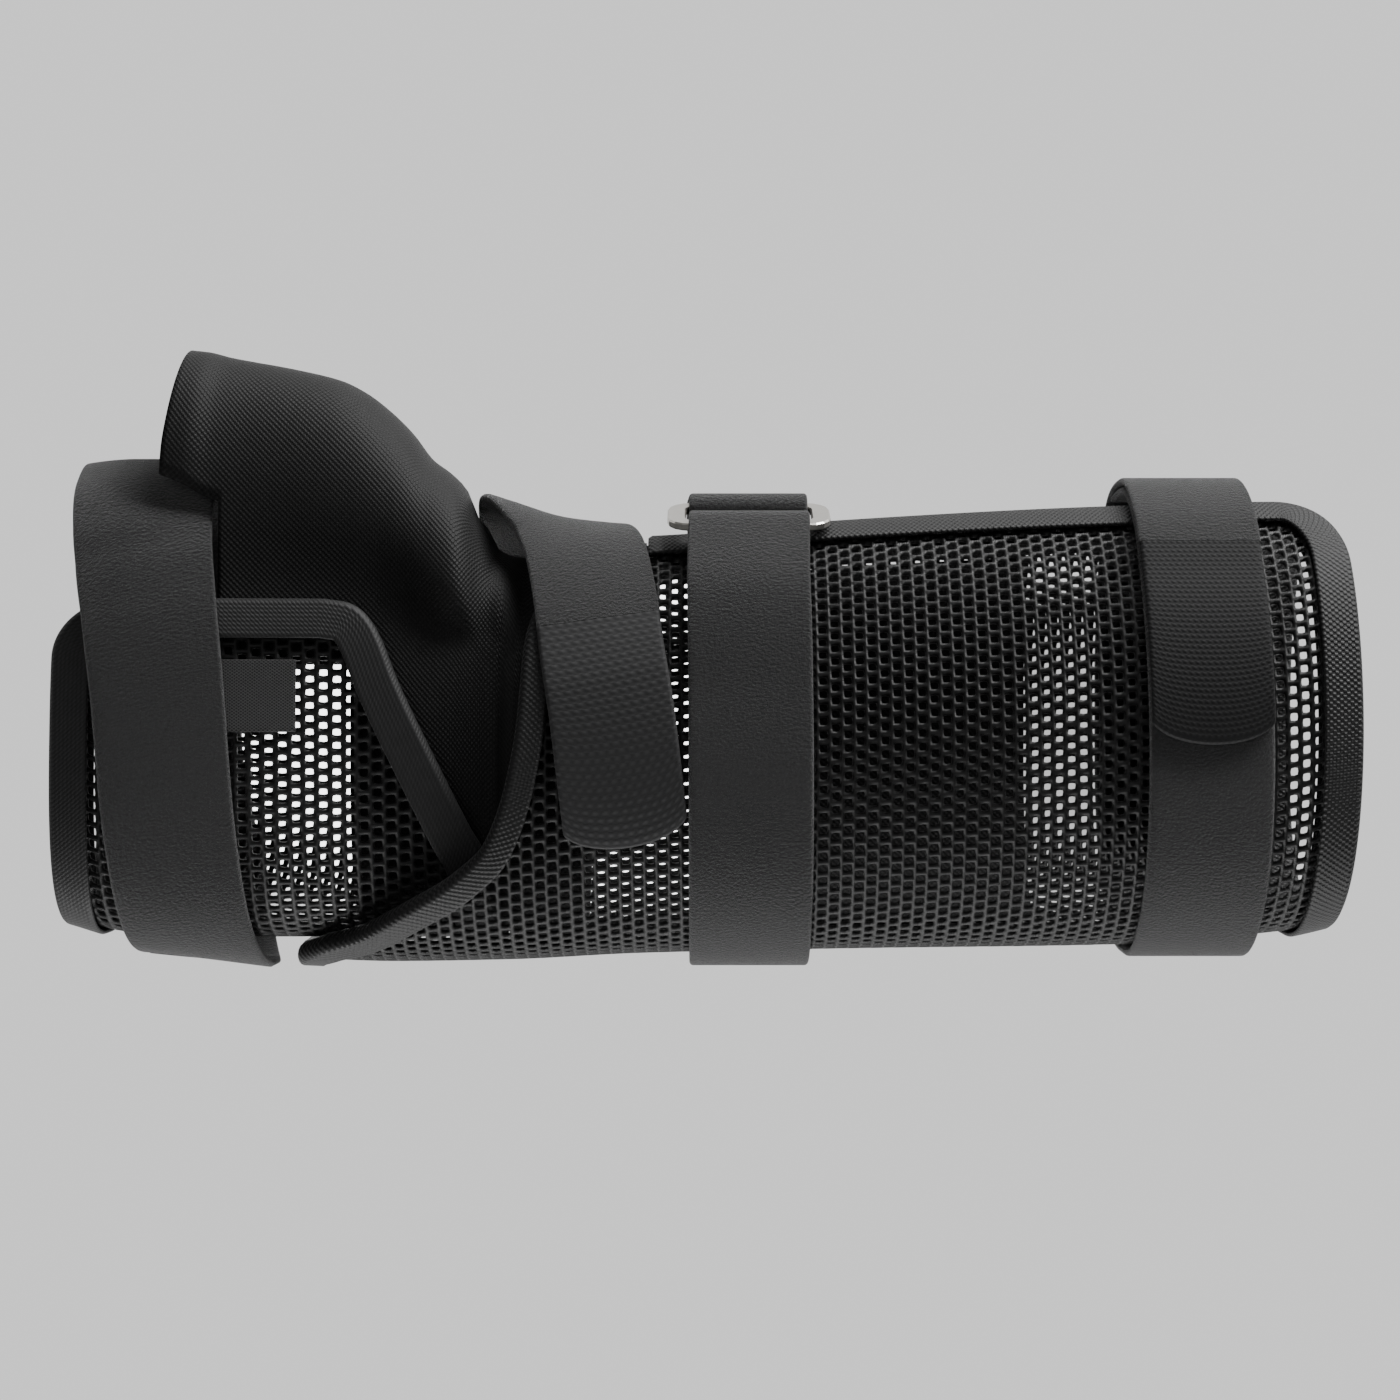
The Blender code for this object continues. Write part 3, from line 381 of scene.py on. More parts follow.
@dataclass
class Shape:
    """A mesh in the making: points, faces of four corners and a cloth place in millimetres for each point."""

    points: np.ndarray
    quads: np.ndarray
    places: np.ndarray

    def area(self) -> float:
        """The surface's area in square metres."""
        a, b, c, d = (self.points[self.quads[:, k]] for k in range(4))
        halves = np.cross(b - a, c - a), np.cross(c - a, d - a)
        return float(sum(np.linalg.norm(half, axis=1).sum() / 2 for half in halves))

    def flat(self) -> tuple[float, float]:
        """The flat cloth's width and length in metres."""
        size = self.places.max(0) - self.places.min(0)
        return float(size[0]) * MM, float(size[1]) * MM

    def build(self, name: str) -> bpy.types.Object:
        """Makes the object.

        Args:
            name: The piece's name.

        Returns:
            The new object.
        """
        mesh = bpy.data.meshes.new(name)
        corners = self.quads.reshape(-1).astype(np.int32)
        mesh.vertices.add(len(self.points))
        mesh.vertices.foreach_set("co", self.points.astype(np.float32).reshape(-1))
        mesh.loops.add(len(corners))
        mesh.loops.foreach_set("vertex_index", corners)
        mesh.polygons.add(len(self.quads))
        mesh.polygons.foreach_set("loop_start", np.arange(0, len(corners), 4, dtype=np.int32))
        layer = mesh.uv_layers.new(name="cloth_place")
        layer.data.foreach_set("uv", self.places[corners].astype(np.float32).reshape(-1))
        mesh.update(calc_edges=True)
        mesh.validate()
        mesh.shade_smooth()
        piece = bpy.data.objects.new(name, mesh)
        bpy.context.scene.collection.objects.link(piece)
        return piece


def grid_quads(count_rows: int, count_columns: int, closed: bool) -> np.ndarray:
    """Faces of a grid of points, as corner numbers.

    Args:
        count_rows: Rows of points.
        count_columns: Points in a row.
        closed: Whether the last row meets the first.

    Returns:
        One row of four corners for each face.
    """
    rows = np.arange(count_rows if closed else count_rows - 1)
    i, j = np.meshgrid(rows, np.arange(count_columns - 1), indexing="ij")
    here, after = i * count_columns + j, (i + 1) % count_rows * count_columns + j
    return np.stack([here, after, after + 1, here + 1], -1).reshape(-1, 4)


def rounding(edge: np.ndarray, thickness: float) -> np.ndarray:
    """Half a cloth's thickness, rounded off near its edges.

    Args:
        edge: Distances to the nearest edge.
        thickness: The cloth's thickness.

    Returns:
        The half thickness there, which never quite reaches nothing.
    """
    near = np.clip(edge / (thickness / 2), 0, 1)
    return thickness / 2 * np.maximum(np.sqrt(1 - (1 - near) ** 2), 0.04)


def closed_sheet(top: np.ndarray, under: np.ndarray, quads: np.ndarray, places: np.ndarray) -> Shape:
    """A cloth's two faces, joined by walls along their free edges.

    Args:
        top: Points of the upper face.
        under: The same points on the lower face.
        quads: The upper face's quads, as corner numbers.
        places: The place of each point on the flat cloth.

    Returns:
        The closed shape.
    """
    count = len(top)
    ends = np.stack([quads, np.roll(quads, -1, 1)], -1).reshape(-1, 2)
    code = np.minimum(ends[:, 0], ends[:, 1]) * count + np.maximum(ends[:, 0], ends[:, 1])
    where, uses = np.unique(code, return_inverse=True, return_counts=True)[1:]
    rim = ends[uses[where.reshape(-1)] == 1]
    walls = np.stack([rim[:, 1], rim[:, 0], rim[:, 0] + count, rim[:, 1] + count], -1)
    return Shape(
        np.concatenate([top, under]),
        np.concatenate([quads, quads[:, ::-1] + count, walls]),
        np.concatenate([places, places]),
    )


def thick_grid(
    points: np.ndarray, thickness: float, places: np.ndarray, closed: bool = False,
    keep: np.ndarray | None = None, edge: np.ndarray | None = None,
) -> Shape:
    """A grid of points given a cloth's thickness, with walls along its open edges.

    Args:
        points: Rows by columns by 3, on the cloth's middle.
        thickness: The cloth's thickness.
        places: Rows by columns by 2, the place on the flat cloth.
        closed: Whether the last row meets the first.
        keep: Which faces of the grid are there, or None for all.
        edge: Distances to the nearest rounded edge, or None where no edge is rounded.

    Returns:
        The closed shape.
    """
    half = thickness / 2 if edge is None else rounding(edge, thickness)[..., None]
    rise = grid_normals(points, closed) * half
    quads = grid_quads(points.shape[0], points.shape[1], closed)
    if keep is not None:
        quads = quads[keep.reshape(-1)]
    top, under = (points + rise).reshape(-1, 3), (points - rise).reshape(-1, 3)
    return closed_sheet(top, under, quads, places.reshape(-1, 2))


def edge_stations(length: float, step: float, thickness: float) -> np.ndarray:
    """Distances across a strap, even in the middle and closer at its two rounded edges.

    Args:
        length: The whole distance.
        step: The distance wanted in the middle.
        thickness: The strap's thickness.

    Returns:
        Distances from 0 to the length.
    """
    radius = thickness / 2
    turn = radius * (1 - np.cos(np.linspace(0, pi / 2, 5)))
    count = max(int(round((length - 2 * radius) / step)), 2)
    middle = np.linspace(radius, length - radius, count + 1)
    return np.concatenate([turn[:-1], middle, length - turn[-2::-1]])


@dataclass
class Sleeve:
    """A closed sleeve along X, whose sections come from a table."""

    rows: Sequence[Section]
    start: float
    end: float
    height: float
    depth: float
    lean: float
    near_round: float
    far_round: float
    lean_power: float = 1.3
    spare: tuple[float, float] = (6 * MM, 20 * MM)
    stations: int = 260
    steps: int = 960
    xs: np.ndarray = field(init=False)
    girths: np.ndarray = field(init=False)
    wall: np.ndarray = field(init=False)
    normals: np.ndarray = field(init=False)

    def __post_init__(self) -> None:
        """Works out the wall's grid once."""
        self.xs = np.linspace(self.start - self.spare[0], self.end + self.spare[1], self.stations)
        turn = np.linspace(0, 2 * pi, self.steps + 1)
        up, out = np.cos(turn), np.sin(turn)
        power = np.where(out > 0, 2 / self.near_round, 2 / self.far_round)
        along = (self.xs - self.start) / (self.end - self.start)
        values = {name: read_column(self.rows, name, along) for name in Section._fields[1:]}
        walls, girths = [], []
        for k, x in enumerate(self.xs):
            top, bottom, near, far = (values[name][k] for name in Section._fields[1:])
            y = (top - bottom) / 2 + (top + bottom) / 2 * np.sign(up) * np.abs(up) ** power
            y = y * self.height - self.lean * np.maximum(0, out) ** self.lean_power
            z = (near + far) / 2 + (near - far) / 2 * np.sign(out) * np.abs(out) ** power
            z = np.maximum(z * self.depth - REST_PRESS, 0) + SLEEVE_FLOOR
            gone = np.concatenate([[0], np.cumsum(np.hypot(np.diff(y), np.diff(z)))])
            even = np.linspace(0, gone[-1], self.steps + 1)[:-1]
            ring = [np.full(self.steps, x), np.interp(even, gone, y), np.interp(even, gone, z)]
            walls.append(np.stack(ring, -1))
            girths.append(gone[-1])
        self.wall, self.girths = np.array(walls), np.array(girths)
        around = np.roll(self.wall, -2, 1) - np.roll(self.wall, 2, 1)
        normal = np.cross(around, np.gradient(self.wall, axis=0))
        normal /= np.linalg.norm(normal, axis=-1, keepdims=True)
        for _ in range(3):
            normal = (normal + (np.roll(normal, 1, 1) + np.roll(normal, -1, 1)) / 2) / 2
        self.normals = normal / np.linalg.norm(normal, axis=-1, keepdims=True)

    def girth(self, x: Any) -> Any:
        """The distance all round, at places along X."""
        return np.interp(x, self.xs, self.girths)

    def _read(self, grid: np.ndarray, x: np.ndarray, way: np.ndarray) -> np.ndarray:
        """Reads a grid of the wall between its points.

        Args:
            grid: Stations by steps by 3.
            x: Places along X.
            way: Distances round from the top line.

        Returns:
            A vector for each place.
        """
        i_at = np.clip((x - self.xs[0]) / (self.xs[1] - self.xs[0]), 0, self.stations - 1.001)
        j_at = (way / self.girth(x) % 1.0) * self.steps
        i, j = i_at.astype(int), j_at.astype(int)
        a, b = (i_at - i)[..., None], (j_at - j)[..., None]
        j, after = j % self.steps, (j + 1) % self.steps
        low = grid[i, j] * (1 - b) + grid[i, after] * b
        high = grid[i + 1, j] * (1 - b) + grid[i + 1, after] * b
        return low * (1 - a) + high * a

    def place(self, x: Any, way: Any, lift: Any = 0.0) -> np.ndarray:
        """Points on the wall, or lifted from it.

        Args:
            x: Places along X.
            way: Distances round from the top line.
            lift: Distances out from the wall.

        Returns:
            A point for each place.
        """
        x, way, lift = np.broadcast_arrays(*(np.asarray(given, float) for given in (x, way, lift)))
        normal = self._read(self.normals, x, way)
        normal = normal / np.linalg.norm(normal, axis=-1, keepdims=True)
        return self._read(self.wall, x, way) + normal * lift[..., None]

    def down_to(self, x: Any, height: Any, side: Side) -> np.ndarray:
        """Distances round from the top line to a height above the arm line.

        Args:
            x: Places along X.
            height: Heights above the arm line.
            side: The wall that it is read on.

        Returns:
            One distance for each place.
        """
        x, height = np.broadcast_arrays(np.asarray(x, float), np.asarray(height, float))
        half = self.steps // 2
        found = np.empty(x.shape)
        for k in np.ndindex(x.shape):
            share = np.arange(half + 1) / self.steps
            if side is Side.FAR:
                share = 1 - share
            y = self.place(np.full(half + 1, x[k]), share * self.girth(x[k]))[:, 1]
            found[k] = np.interp(-height[k], -y, share) * self.girth(x[k])
        return found


FOREARM = Sleeve(
    FOREARM_SECTIONS, start=-84.0 * MM, end=134.0 * MM, height=92.0 * MM, depth=63.3 * MM,
    lean=6.7 * MM, near_round=2.0, far_round=2.6,
)
HAND = Sleeve(
    HAND_SECTIONS, start=-130.6 * MM, end=-42.6 * MM, height=85.0 * MM, depth=54.0 * MM,
    lean=2.0 * MM, near_round=2.7, far_round=2.7,
)


def row_shift() -> np.ndarray:
    """How far the solids' frame lies from the frame of the tables, from the ring's middle."""
    low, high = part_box("strap_ring")
    return (np.array(low) + np.array(high)) / 2 - np.array(RING_MIDDLE)


SHIFT = row_shift()


@dataclass
class Panel:
    """A piece cut from a sleeve, between two lines along it and two edges across it."""

    sleeve: Sleeve
    near_line: np.ndarray
    far_line: np.ndarray
    hand_edge: Callable[[np.ndarray], np.ndarray]
    arm_edge: Callable[[np.ndarray], np.ndarray]

    def near_way(self, x: Any) -> np.ndarray:
        """Where the piece starts on the near wall, as a distance round."""
        return np.interp(x, self.sleeve.xs, self.near_line)

    def far_way(self, x: Any) -> np.ndarray:
        """Where the piece ends on the far wall, as a distance round."""
        return np.interp(x, self.sleeve.xs, self.far_line)

    def way(self, x: Any, share: Any) -> np.ndarray:
        """The distance round at a share of the way across the piece."""
        start = self.near_way(x)
        return start + (self.far_way(x) - start) * share

    def share(self, x: Any, way: Any) -> np.ndarray:
        """The share of the way across the piece at a distance round."""
        start = self.near_way(x)
        return (way - start) / (self.far_way(x) - start)

    def margin(self, x: np.ndarray, way: np.ndarray) -> np.ndarray:
        """How far places are inside the piece's outline, negative outside.

        Args:
            x: Places along X.
            way: Distances round.

        Returns:
            One distance for each place.
        """
        share = self.share(x, way)
        inside = np.minimum(way - self.near_way(x), self.far_way(x) - way)
        step = 0.5 * MM / (self.far_way(x) - self.near_way(x))
        for edge, sign in ((self.hand_edge, 1), (self.arm_edge, -1)):
            steep = (edge(np.clip(share + step, 0, 1)) - edge(np.clip(share - step, 0, 1))) / MM
            reach = sign * (x - edge(np.clip(share, 0, 1))) / np.sqrt(1 + steep**2)
            inside = np.minimum(inside, reach)
        return inside


def rounded_end(
    edge: float, slant: float, corner: tuple[float, float], span: float, way_in: int,
) -> Callable[[np.ndarray], np.ndarray]:
    """An end line that leans by its slant at the bottom line and has two rounded corners.

    Args:
        edge: Where the line is along X.
        slant: How far it leans towards -X at the bottom line.
        corner: The corners' sizes along X and round the sleeve.
        span: The piece's size round the sleeve.
        way_in: 1 where the piece lies towards +X from the line, otherwise -1.

    Returns:
        The line, as X at a share of the way across the piece.
    """

    def at(share: np.ndarray) -> np.ndarray:
        """X at a share of the way across the piece."""
        from_side = np.minimum(share, 1 - share)
        turned = np.clip(1 - from_side * span / corner[1], 0, 1)
        return edge - slant * 2 * from_side + way_in * corner[0] * (1 - np.sqrt(1 - turned**2))

    return at


def forearm_panel() -> Panel:
    """The forearm sleeve's mesh, slit along the top and cut away for the thumb.

    Returns:
        The panel.
    """
    sleeve = FOREARM
    girth = float(sleeve.girth((sleeve.start + sleeve.end) / 2))
    span = girth - SLIT_NEAR - SLIT_FAR
    bottom = (girth / 2 - SLIT_NEAR) / span
    longest = max(bottom, 1 - bottom)

    def thumb_edge(share: np.ndarray) -> np.ndarray:
        """X of the thumb cut at a share of the way across."""
        from_bottom = np.abs(share - bottom) / longest * THUMB_CUT_ROWS[-1].round
        return sleeve.start + THUMB_CUT * (1 - read_column(THUMB_CUT_ROWS, "reach", from_bottom))

    arm_edge = rounded_end(sleeve.end - FOLD_NOSE, ARM_END_SLANT, ARM_CORNER, span, -1)
    near_line = np.full(sleeve.stations, SLIT_NEAR)
    return Panel(sleeve, near_line, sleeve.girths - SLIT_FAR, thumb_edge, arm_edge)


def hand_panel() -> Panel:
    """The hand sleeve's mesh, open towards the thumb.

    Returns:
        The panel.
    """
    sleeve = HAND
    near = sleeve.down_to(sleeve.xs, HAND_RIM_NEAR, Side.NEAR)
    far = sleeve.down_to(sleeve.xs, HAND_RIM_FAR, Side.FAR)
    middle = (sleeve.start + sleeve.end) / 2
    span = float(np.interp(middle, sleeve.xs, far - near))

    def slanted_edge(share: np.ndarray) -> np.ndarray:
        """X of the slanted edge at a share of the way across."""
        from_bottom = np.abs(share - 0.5) * 2
        return sleeve.end - HAND_CUT * read_column(HAND_EDGE_ROWS, "reach", from_bottom)

    end = rounded_end(sleeve.start + FOLD_NOSE, HAND_END_SLANT, HAND_CORNER, span, 1)
    return Panel(sleeve, near, far, end, slanted_edge)


@dataclass
class Net:
    """Open mesh cloth: bricks of thread with a rounded hole in each, every other column half a row lower."""

    panel: Panel
    column: float = 2.48 * MM
    row: float = 2.74 * MM
    hole: float = 1.62 * MM
    corner: float = 0.86
    margin: float = 1.2 * MM
    origin: float = 0.0
    shift: float = 0.0

    def shape(self, near: bool) -> Shape:
        """Builds the net.

        Args:
            near: True for the near wall, False for the far wall.

        Returns:
            The closed shape, with walls in each hole and along its rim.
        """
        sleeve = self.panel.sleeve
        columns = np.arange(int(sleeve.xs[0] / self.column) - 1, int(sleeve.xs[-1] / self.column) + 2)
        rows = np.arange(-90, 90)
        i, j = (grid.reshape(-1) for grid in np.meshgrid(columns, rows, indexing="ij"))
        u, v = 2 * i, 2 * j + i % 2
        x = self.origin + u * self.column / 2
        inside = np.abs(v * self.row / 2) < sleeve.girth(x) / 2
        u, v, x = u[inside], v[inside], x[inside]
        way = sleeve.girth(x) / 2 + v * self.row / 2 + self.shift
        wanted = (self.panel.margin(x, way) > self.margin) & ((v < 0) == near)
        u, v = u[wanted], v[wanted]
        around = ((1, 0), (1, 1), (0, 1), (-1, 1), (-1, 0), (-1, -1), (0, -1), (1, -1))
        outer = np.stack([np.stack([u + a, v + b], -1) for a, b in around], 1)
        found, number = np.unique(outer.reshape(-1, 2), axis=0, return_inverse=True)
        number = number.reshape(-1, 8)
        half = self.hole / 2
        rim = np.array([(a * half, b * half) for a, b in around])
        rim[1::2] *= self.corner
        centre = np.stack([u * self.column / 2, v * self.row / 2], -1)
        holes = (centre[:, None] + rim[None]).reshape(-1, 2)
        flat = np.concatenate([found * [self.column / 2, self.row / 2], holes]) + [self.origin, self.shift]
        lift = np.where(np.arange(len(flat)) < len(found), CLOTH / 2, CLOTH * 0.2)
        inner = len(found) + np.arange(len(u) * 8).reshape(-1, 8)
        quads = np.stack([number, np.roll(number, -1, 1), np.roll(inner, -1, 1), inner], -1).reshape(-1, 4)
        quads = quads[:, ::-1]
        base = sleeve.girth(flat[:, 0]) / 2
        top = sleeve.place(flat[:, 0], base + flat[:, 1], lift)
        under = sleeve.place(flat[:, 0], base + flat[:, 1], -lift)
        return closed_sheet(top, under, quads, flat / MM)


def strip_places(points: np.ndarray) -> np.ndarray:
    """The place of each point on a flat strip, in millimetres: across, then along."""
    across = np.linalg.norm(np.diff(points, axis=1), axis=2)
    along = np.linalg.norm(np.diff(points, axis=0), axis=2).mean(1)
    over = np.concatenate([np.zeros((len(points), 1)), np.cumsum(across, 1)], 1)
    down = np.concatenate([[0], np.cumsum(along)])
    return np.stack([over, np.broadcast_to(down[:, None], over.shape)], -1) / MM


def strip(
    points: np.ndarray, thickness: float, closed: bool = False, start: bool = True, end: bool = True,
) -> Shape:
    """A strap or tape from rows of points across it, with rounded edges.

    Args:
        points: Rows by columns by 3, on its middle.
        thickness: Its thickness.
        closed: Whether it is an endless loop.
        start: Whether its first end is rounded too.
        end: Whether its last end is rounded too.

    Returns:
        The closed shape.
    """
    places = strip_places(points)
    over, along = places[..., 0] * MM, places[..., 1] * MM
    edge = np.minimum(over, over[:, -1:] - over)
    if start and not closed:
        edge = np.minimum(edge, along)
    if end and not closed:
        edge = np.minimum(edge, along[-1:] - along)
    return thick_grid(points, thickness, places, closed, edge=edge)


def folded_tape(panel: Panel, route: np.ndarray, closed: bool, width: float, step: float) -> np.ndarray:
    """Points of a tape folded round a stretch of a panel's rim.

    Args:
        panel: The panel.
        route: Places (x, share) along the rim, with the panel on the left.
        closed: Whether the route is a loop.
        width: How far the tape reaches over the cloth on both sides.
        step: The distance wanted between rows.

    Returns:
        Rows of points across the fold.
    """
    middle = route[:, 0].mean()
    span = float(panel.far_way(middle) - panel.near_way(middle))
    flat = np.stack([route[:, 0], route[:, 1] * span], -1)
    flat = even_line(flat, step, closed)
    if closed:
        run = np.roll(flat, -1, 0) - np.roll(flat, 1, 0)
    else:
        run = np.gradient(flat, axis=0)
    run = run / np.linalg.norm(run, axis=1, keepdims=True)
    inward = np.stack([-run[:, 1], run[:, 0]], -1)
    nose = np.linspace(0, pi, TAPE_NOSE_STEPS)
    flank = width - edge_stations(width + TAPE, TAPE_FLANK_STEP, TAPE)
    flank = flank[flank > TAPE_FLANK_STEP / 4]
    reach = np.concatenate([flank, -(FOLD_NOSE - TAPE / 2) * np.sin(nose), flank[::-1]])
    level = np.full(len(flank), BINDING_LIFT)
    lift = np.concatenate([level, BINDING_LIFT * np.cos(nose), -level])
    x = flat[:, :1] + inward[:, :1] * reach
    share = (flat[:, 1:] + inward[:, 1:] * reach) / span
    return panel.sleeve.place(x, panel.way(x, share), lift)


def strap_grid(
    sleeve: Sleeve, rows: Sequence[StrapRow], centre_x: float, width: float, shares: np.ndarray,
    rest: Callable[[np.ndarray], np.ndarray], over: np.ndarray,
) -> np.ndarray:
    """Points of a strap whose line and edges follow a table.

    Args:
        sleeve: The sleeve that it lies on.
        rows: The table.
        centre_x: The middle of the strap along X, without its shift.
        width: The strap's width.
        shares: Places along it, as shares of the girth.
        rest: The lift at which it rests at a share.
        over: Distances across it, from its edge towards the hand.

    Returns:
        Rows of points across the strap.
    """
    girth = float(sleeve.girth(centre_x))
    shift = read_column(rows, "shift", shares) * width
    step = 0.004
    slope = (read_column(rows, "shift", shares + step) - read_column(rows, "shift", shares - step))
    slope = slope * width / (2 * step * girth)
    size = np.sqrt(1 + slope**2)
    side = over[None, :] / width * 2 - 1
    hand_lift = rest(shares) + read_column(rows, "hand_edge", shares) * width
    arm_lift = rest(shares) + read_column(rows, "arm_edge", shares) * width
    lift = hand_lift[:, None] + (arm_lift - hand_lift)[:, None] * (side + 1) / 2
    x = centre_x + shift[:, None] + side * width / 2 / size[:, None]
    way = shares[:, None] * girth - (slope / size)[:, None] * side * width / 2
    return sleeve.place(x, way, lift)


def layer_line(rows: Sequence[LayerRow], x: float, shares: np.ndarray, far: bool = False) -> np.ndarray:
    """Points of a strap's middle line round the forearm, lifted by a table.

    Args:
        rows: The table of stand-offs.
        x: Where the strap is along X.
        shares: Places round, as shares of the girth from the top line.
        far: Whether they are counted towards the far side.

    Returns:
        The points.
    """
    girth = float(FOREARM.girth(x))
    lift = STRAP_LIFT + read_column(rows, "stand", shares) * STRAP_WIDTH
    return FOREARM.place(np.full(len(shares), x), (-shares if far else shares) * girth, lift)


def flat_strip(line: np.ndarray, width: float, step: float, thickness: float) -> np.ndarray:
    """Rows of points straight across X, along a line in the plane across X.

    Args:
        line: The strap's middle line.
        width: Its width.
        step: The distance wanted between rows.
        thickness: Its thickness.

    Returns:
        Rows of points, closer together at both ends.
    """
    even = even_line(line, step)
    gone = np.concatenate([[0], np.cumsum(np.linalg.norm(np.diff(even, axis=0), axis=1))])
    at = edge_stations(gone[-1], step, thickness)
    middle = np.stack([np.interp(at, gone, even[:, k]) for k in range(3)], -1)
    over = edge_stations(width, FLAT_STRAP_ACROSS_STEP, thickness) - width / 2
    points = np.repeat(middle[:, None], len(over), 1)
    points[..., 0] += over
    return points


def with_round_nose(points: np.ndarray, nose: float) -> np.ndarray:
    """A tab's rows with its last end drawn back towards its edges, so that the end is round.

    Args:
        points: Rows of points across the tab.
        nose: How far the corners are drawn back.

    Returns:
        The same number of rows.
    """
    over, along = np.moveaxis(strip_places(points) * MM, -1, 0)
    side = np.clip(over / over[:, -1:] * 2 - 1, -1, 1)
    share = along / along[-1, 0]
    turn = 0.97  # how much of a quarter circle each corner follows
    at = along - nose * share**2 * (1 - np.sqrt(1 - (turn * side) ** 2)) / (1 - np.sqrt(1 - turn**2))
    gone = along[:, 0]
    i = np.clip(np.searchsorted(gone, at.reshape(-1), side="right").reshape(at.shape) - 1, 0, len(gone) - 2)
    t = ((at - gone[i]) / (gone[i + 1] - gone[i]))[..., None]
    column = np.broadcast_to(np.arange(points.shape[1]), at.shape)
    return points[i, column] * (1 - t) + points[i + 1, column] * t


Colour = tuple[float, float, float]


class Value:
    """A number in a shader, with the usual arithmetic."""

    def __init__(self, tree: bpy.types.NodeTree, socket: Any) -> None:
        """Wraps a socket of a node tree."""
        self.tree = tree
        self.socket = socket

    def maths(self, operation: str, other: Any = None) -> "Value":
        """Adds a Math node with this value as its first input.

        Args:
            operation: The node's operation.
            other: Its second input, a value or a number.

        Returns:
            The node's result.
        """
        node = self.tree.nodes.new("ShaderNodeMath")
        node.operation = operation
        for index, given in enumerate((self, other)):
            if isinstance(given, Value):
                self.tree.links.new(given.socket, node.inputs[index])
            elif given is not None:
                node.inputs[index].default_value = given
        return Value(self.tree, node.outputs[0])

    def __add__(self, other: Any) -> "Value":
        """Adds."""
        return self.maths("ADD", other)

    def __mul__(self, other: Any) -> "Value":
        """Multiplies."""
        return self.maths("MULTIPLY", other)

    def __sub__(self, other: Any) -> "Value":
        """Subtracts."""
        return self.maths("SUBTRACT", other)

    def __rsub__(self, other: Any) -> "Value":
        """Subtracts this from the other."""
        return self.maths("MULTIPLY", -1.0) + other

    def __truediv__(self, other: Any) -> "Value":
        """Divides."""
        return self.maths("DIVIDE", other)

    def wave(self) -> "Value":
        """Sine of the value."""
        return self.maths("SINE")

    def ripple(self) -> "Value":
        """Sine of the value, between 0 and 1."""
        return self.wave() * 0.5 + 0.5

    def size(self) -> "Value":
        """The value without its sign."""
        return self.maths("ABSOLUTE")

    def step(self, low: float, high: float) -> "Value":
        """A soft step from 0 at low to 1 at high."""
        node = self.tree.nodes.new("ShaderNodeMapRange")
        node.interpolation_type = "SMOOTHSTEP"
        self.tree.links.new(self.socket, node.inputs["Value"])
        node.inputs["From Min"].default_value = low
        node.inputs["From Max"].default_value = high
        return Value(self.tree, node.outputs["Result"])

    def whole(self) -> "Value":
        """The value rounded down."""
        return self.maths("FLOOR")


@dataclass
class Shader:
    """A new material with a Principled BSDF, and the means to feed it."""

    name: str
    tree: bpy.types.NodeTree = field(init=False)
    material: bpy.types.Material = field(init=False)

    def __post_init__(self) -> None:
        """Makes the material."""
        self.material = bpy.data.materials.new(self.name)
        self.material.use_nodes = True
        self.tree = self.material.node_tree
        self.principled = self.tree.nodes["Principled BSDF"]

    def node(self, kind: str, settings: dict[str, Any], inputs: dict[str, Any]) -> Any:
        """Adds any node.

        Args:
            kind: The node's type.
            settings: Its properties.
            inputs: Numbers, colours or values for its inputs, by name.

        Returns:
            The node.
        """
        made = self.tree.nodes.new(kind)
        for name, value in settings.items():
            setattr(made, name, value)
        for name, value in inputs.items():
            self.feed(made.inputs[name], value)
        return made

    def feed(self, socket: Any, value: Any) -> None:
        """Gives an input a number or colour, or links it to a value."""
        if isinstance(value, Value):
            self.tree.links.new(value.socket, socket)
        elif isinstance(value, bpy.types.NodeSocket):
            self.tree.links.new(value, socket)
        else:
            socket.default_value = value

    def cloth_place(self) -> tuple[Value, Value]:
        """The place on the flat cloth, in millimetres across and along."""
        place = self.node("ShaderNodeUVMap", {"uv_map": "cloth_place"}, {})
        parts = self.node("ShaderNodeSeparateXYZ", {}, {"Vector": place.outputs["UV"]})
        return Value(self.tree, parts.outputs["X"]), Value(self.tree, parts.outputs["Y"])

    def vector(self, x: Any, y: Any) -> Any:
        """A vector of two values."""
        return self.node("ShaderNodeCombineXYZ", {}, {"X": x, "Y": y}).outputs["Vector"]

    def noise(self, where: Any, scale: float, detail: float = 2.0) -> Value:
        """Noise from 0 to 1 at a place, with the given scale."""
        made = self.node("ShaderNodeTexNoise", {}, {"Vector": where, "Scale": scale, "Detail": detail})
        return Value(self.tree, made.outputs["Fac"])

    def bump(self, height: Value) -> None:
        """Gives the surface a relief, whose height is in millimetres."""
        made = self.node("ShaderNodeBump", {}, {"Height": height, "Distance": MM})
        self.feed(self.principled.inputs["Normal"], made.outputs["Normal"])

    def colour(self, low: Sequence[float], high: Sequence[float], share: Any) -> None:
        """Gives the surface a colour between two.

        Args:
            low: The colour where the share is 0.
            high: The colour where it is 1.
            share: A value from 0 to 1.
        """
        mix = self.node("ShaderNodeMix", {"data_type": "RGBA"}, {})
        mix.inputs[6].default_value = (*low, 1.0)
        mix.inputs[7].default_value = (*high, 1.0)
        self.feed(mix.inputs[0], share)
        self.feed(self.principled.inputs["Base Color"], mix.outputs[2])

    def settings(self, **values: float) -> None:
        """Sets the Principled BSDF's own inputs, with underscores for spaces."""
        for name, value in values.items():
            self.principled.inputs[name.replace("_", " ")].default_value = value


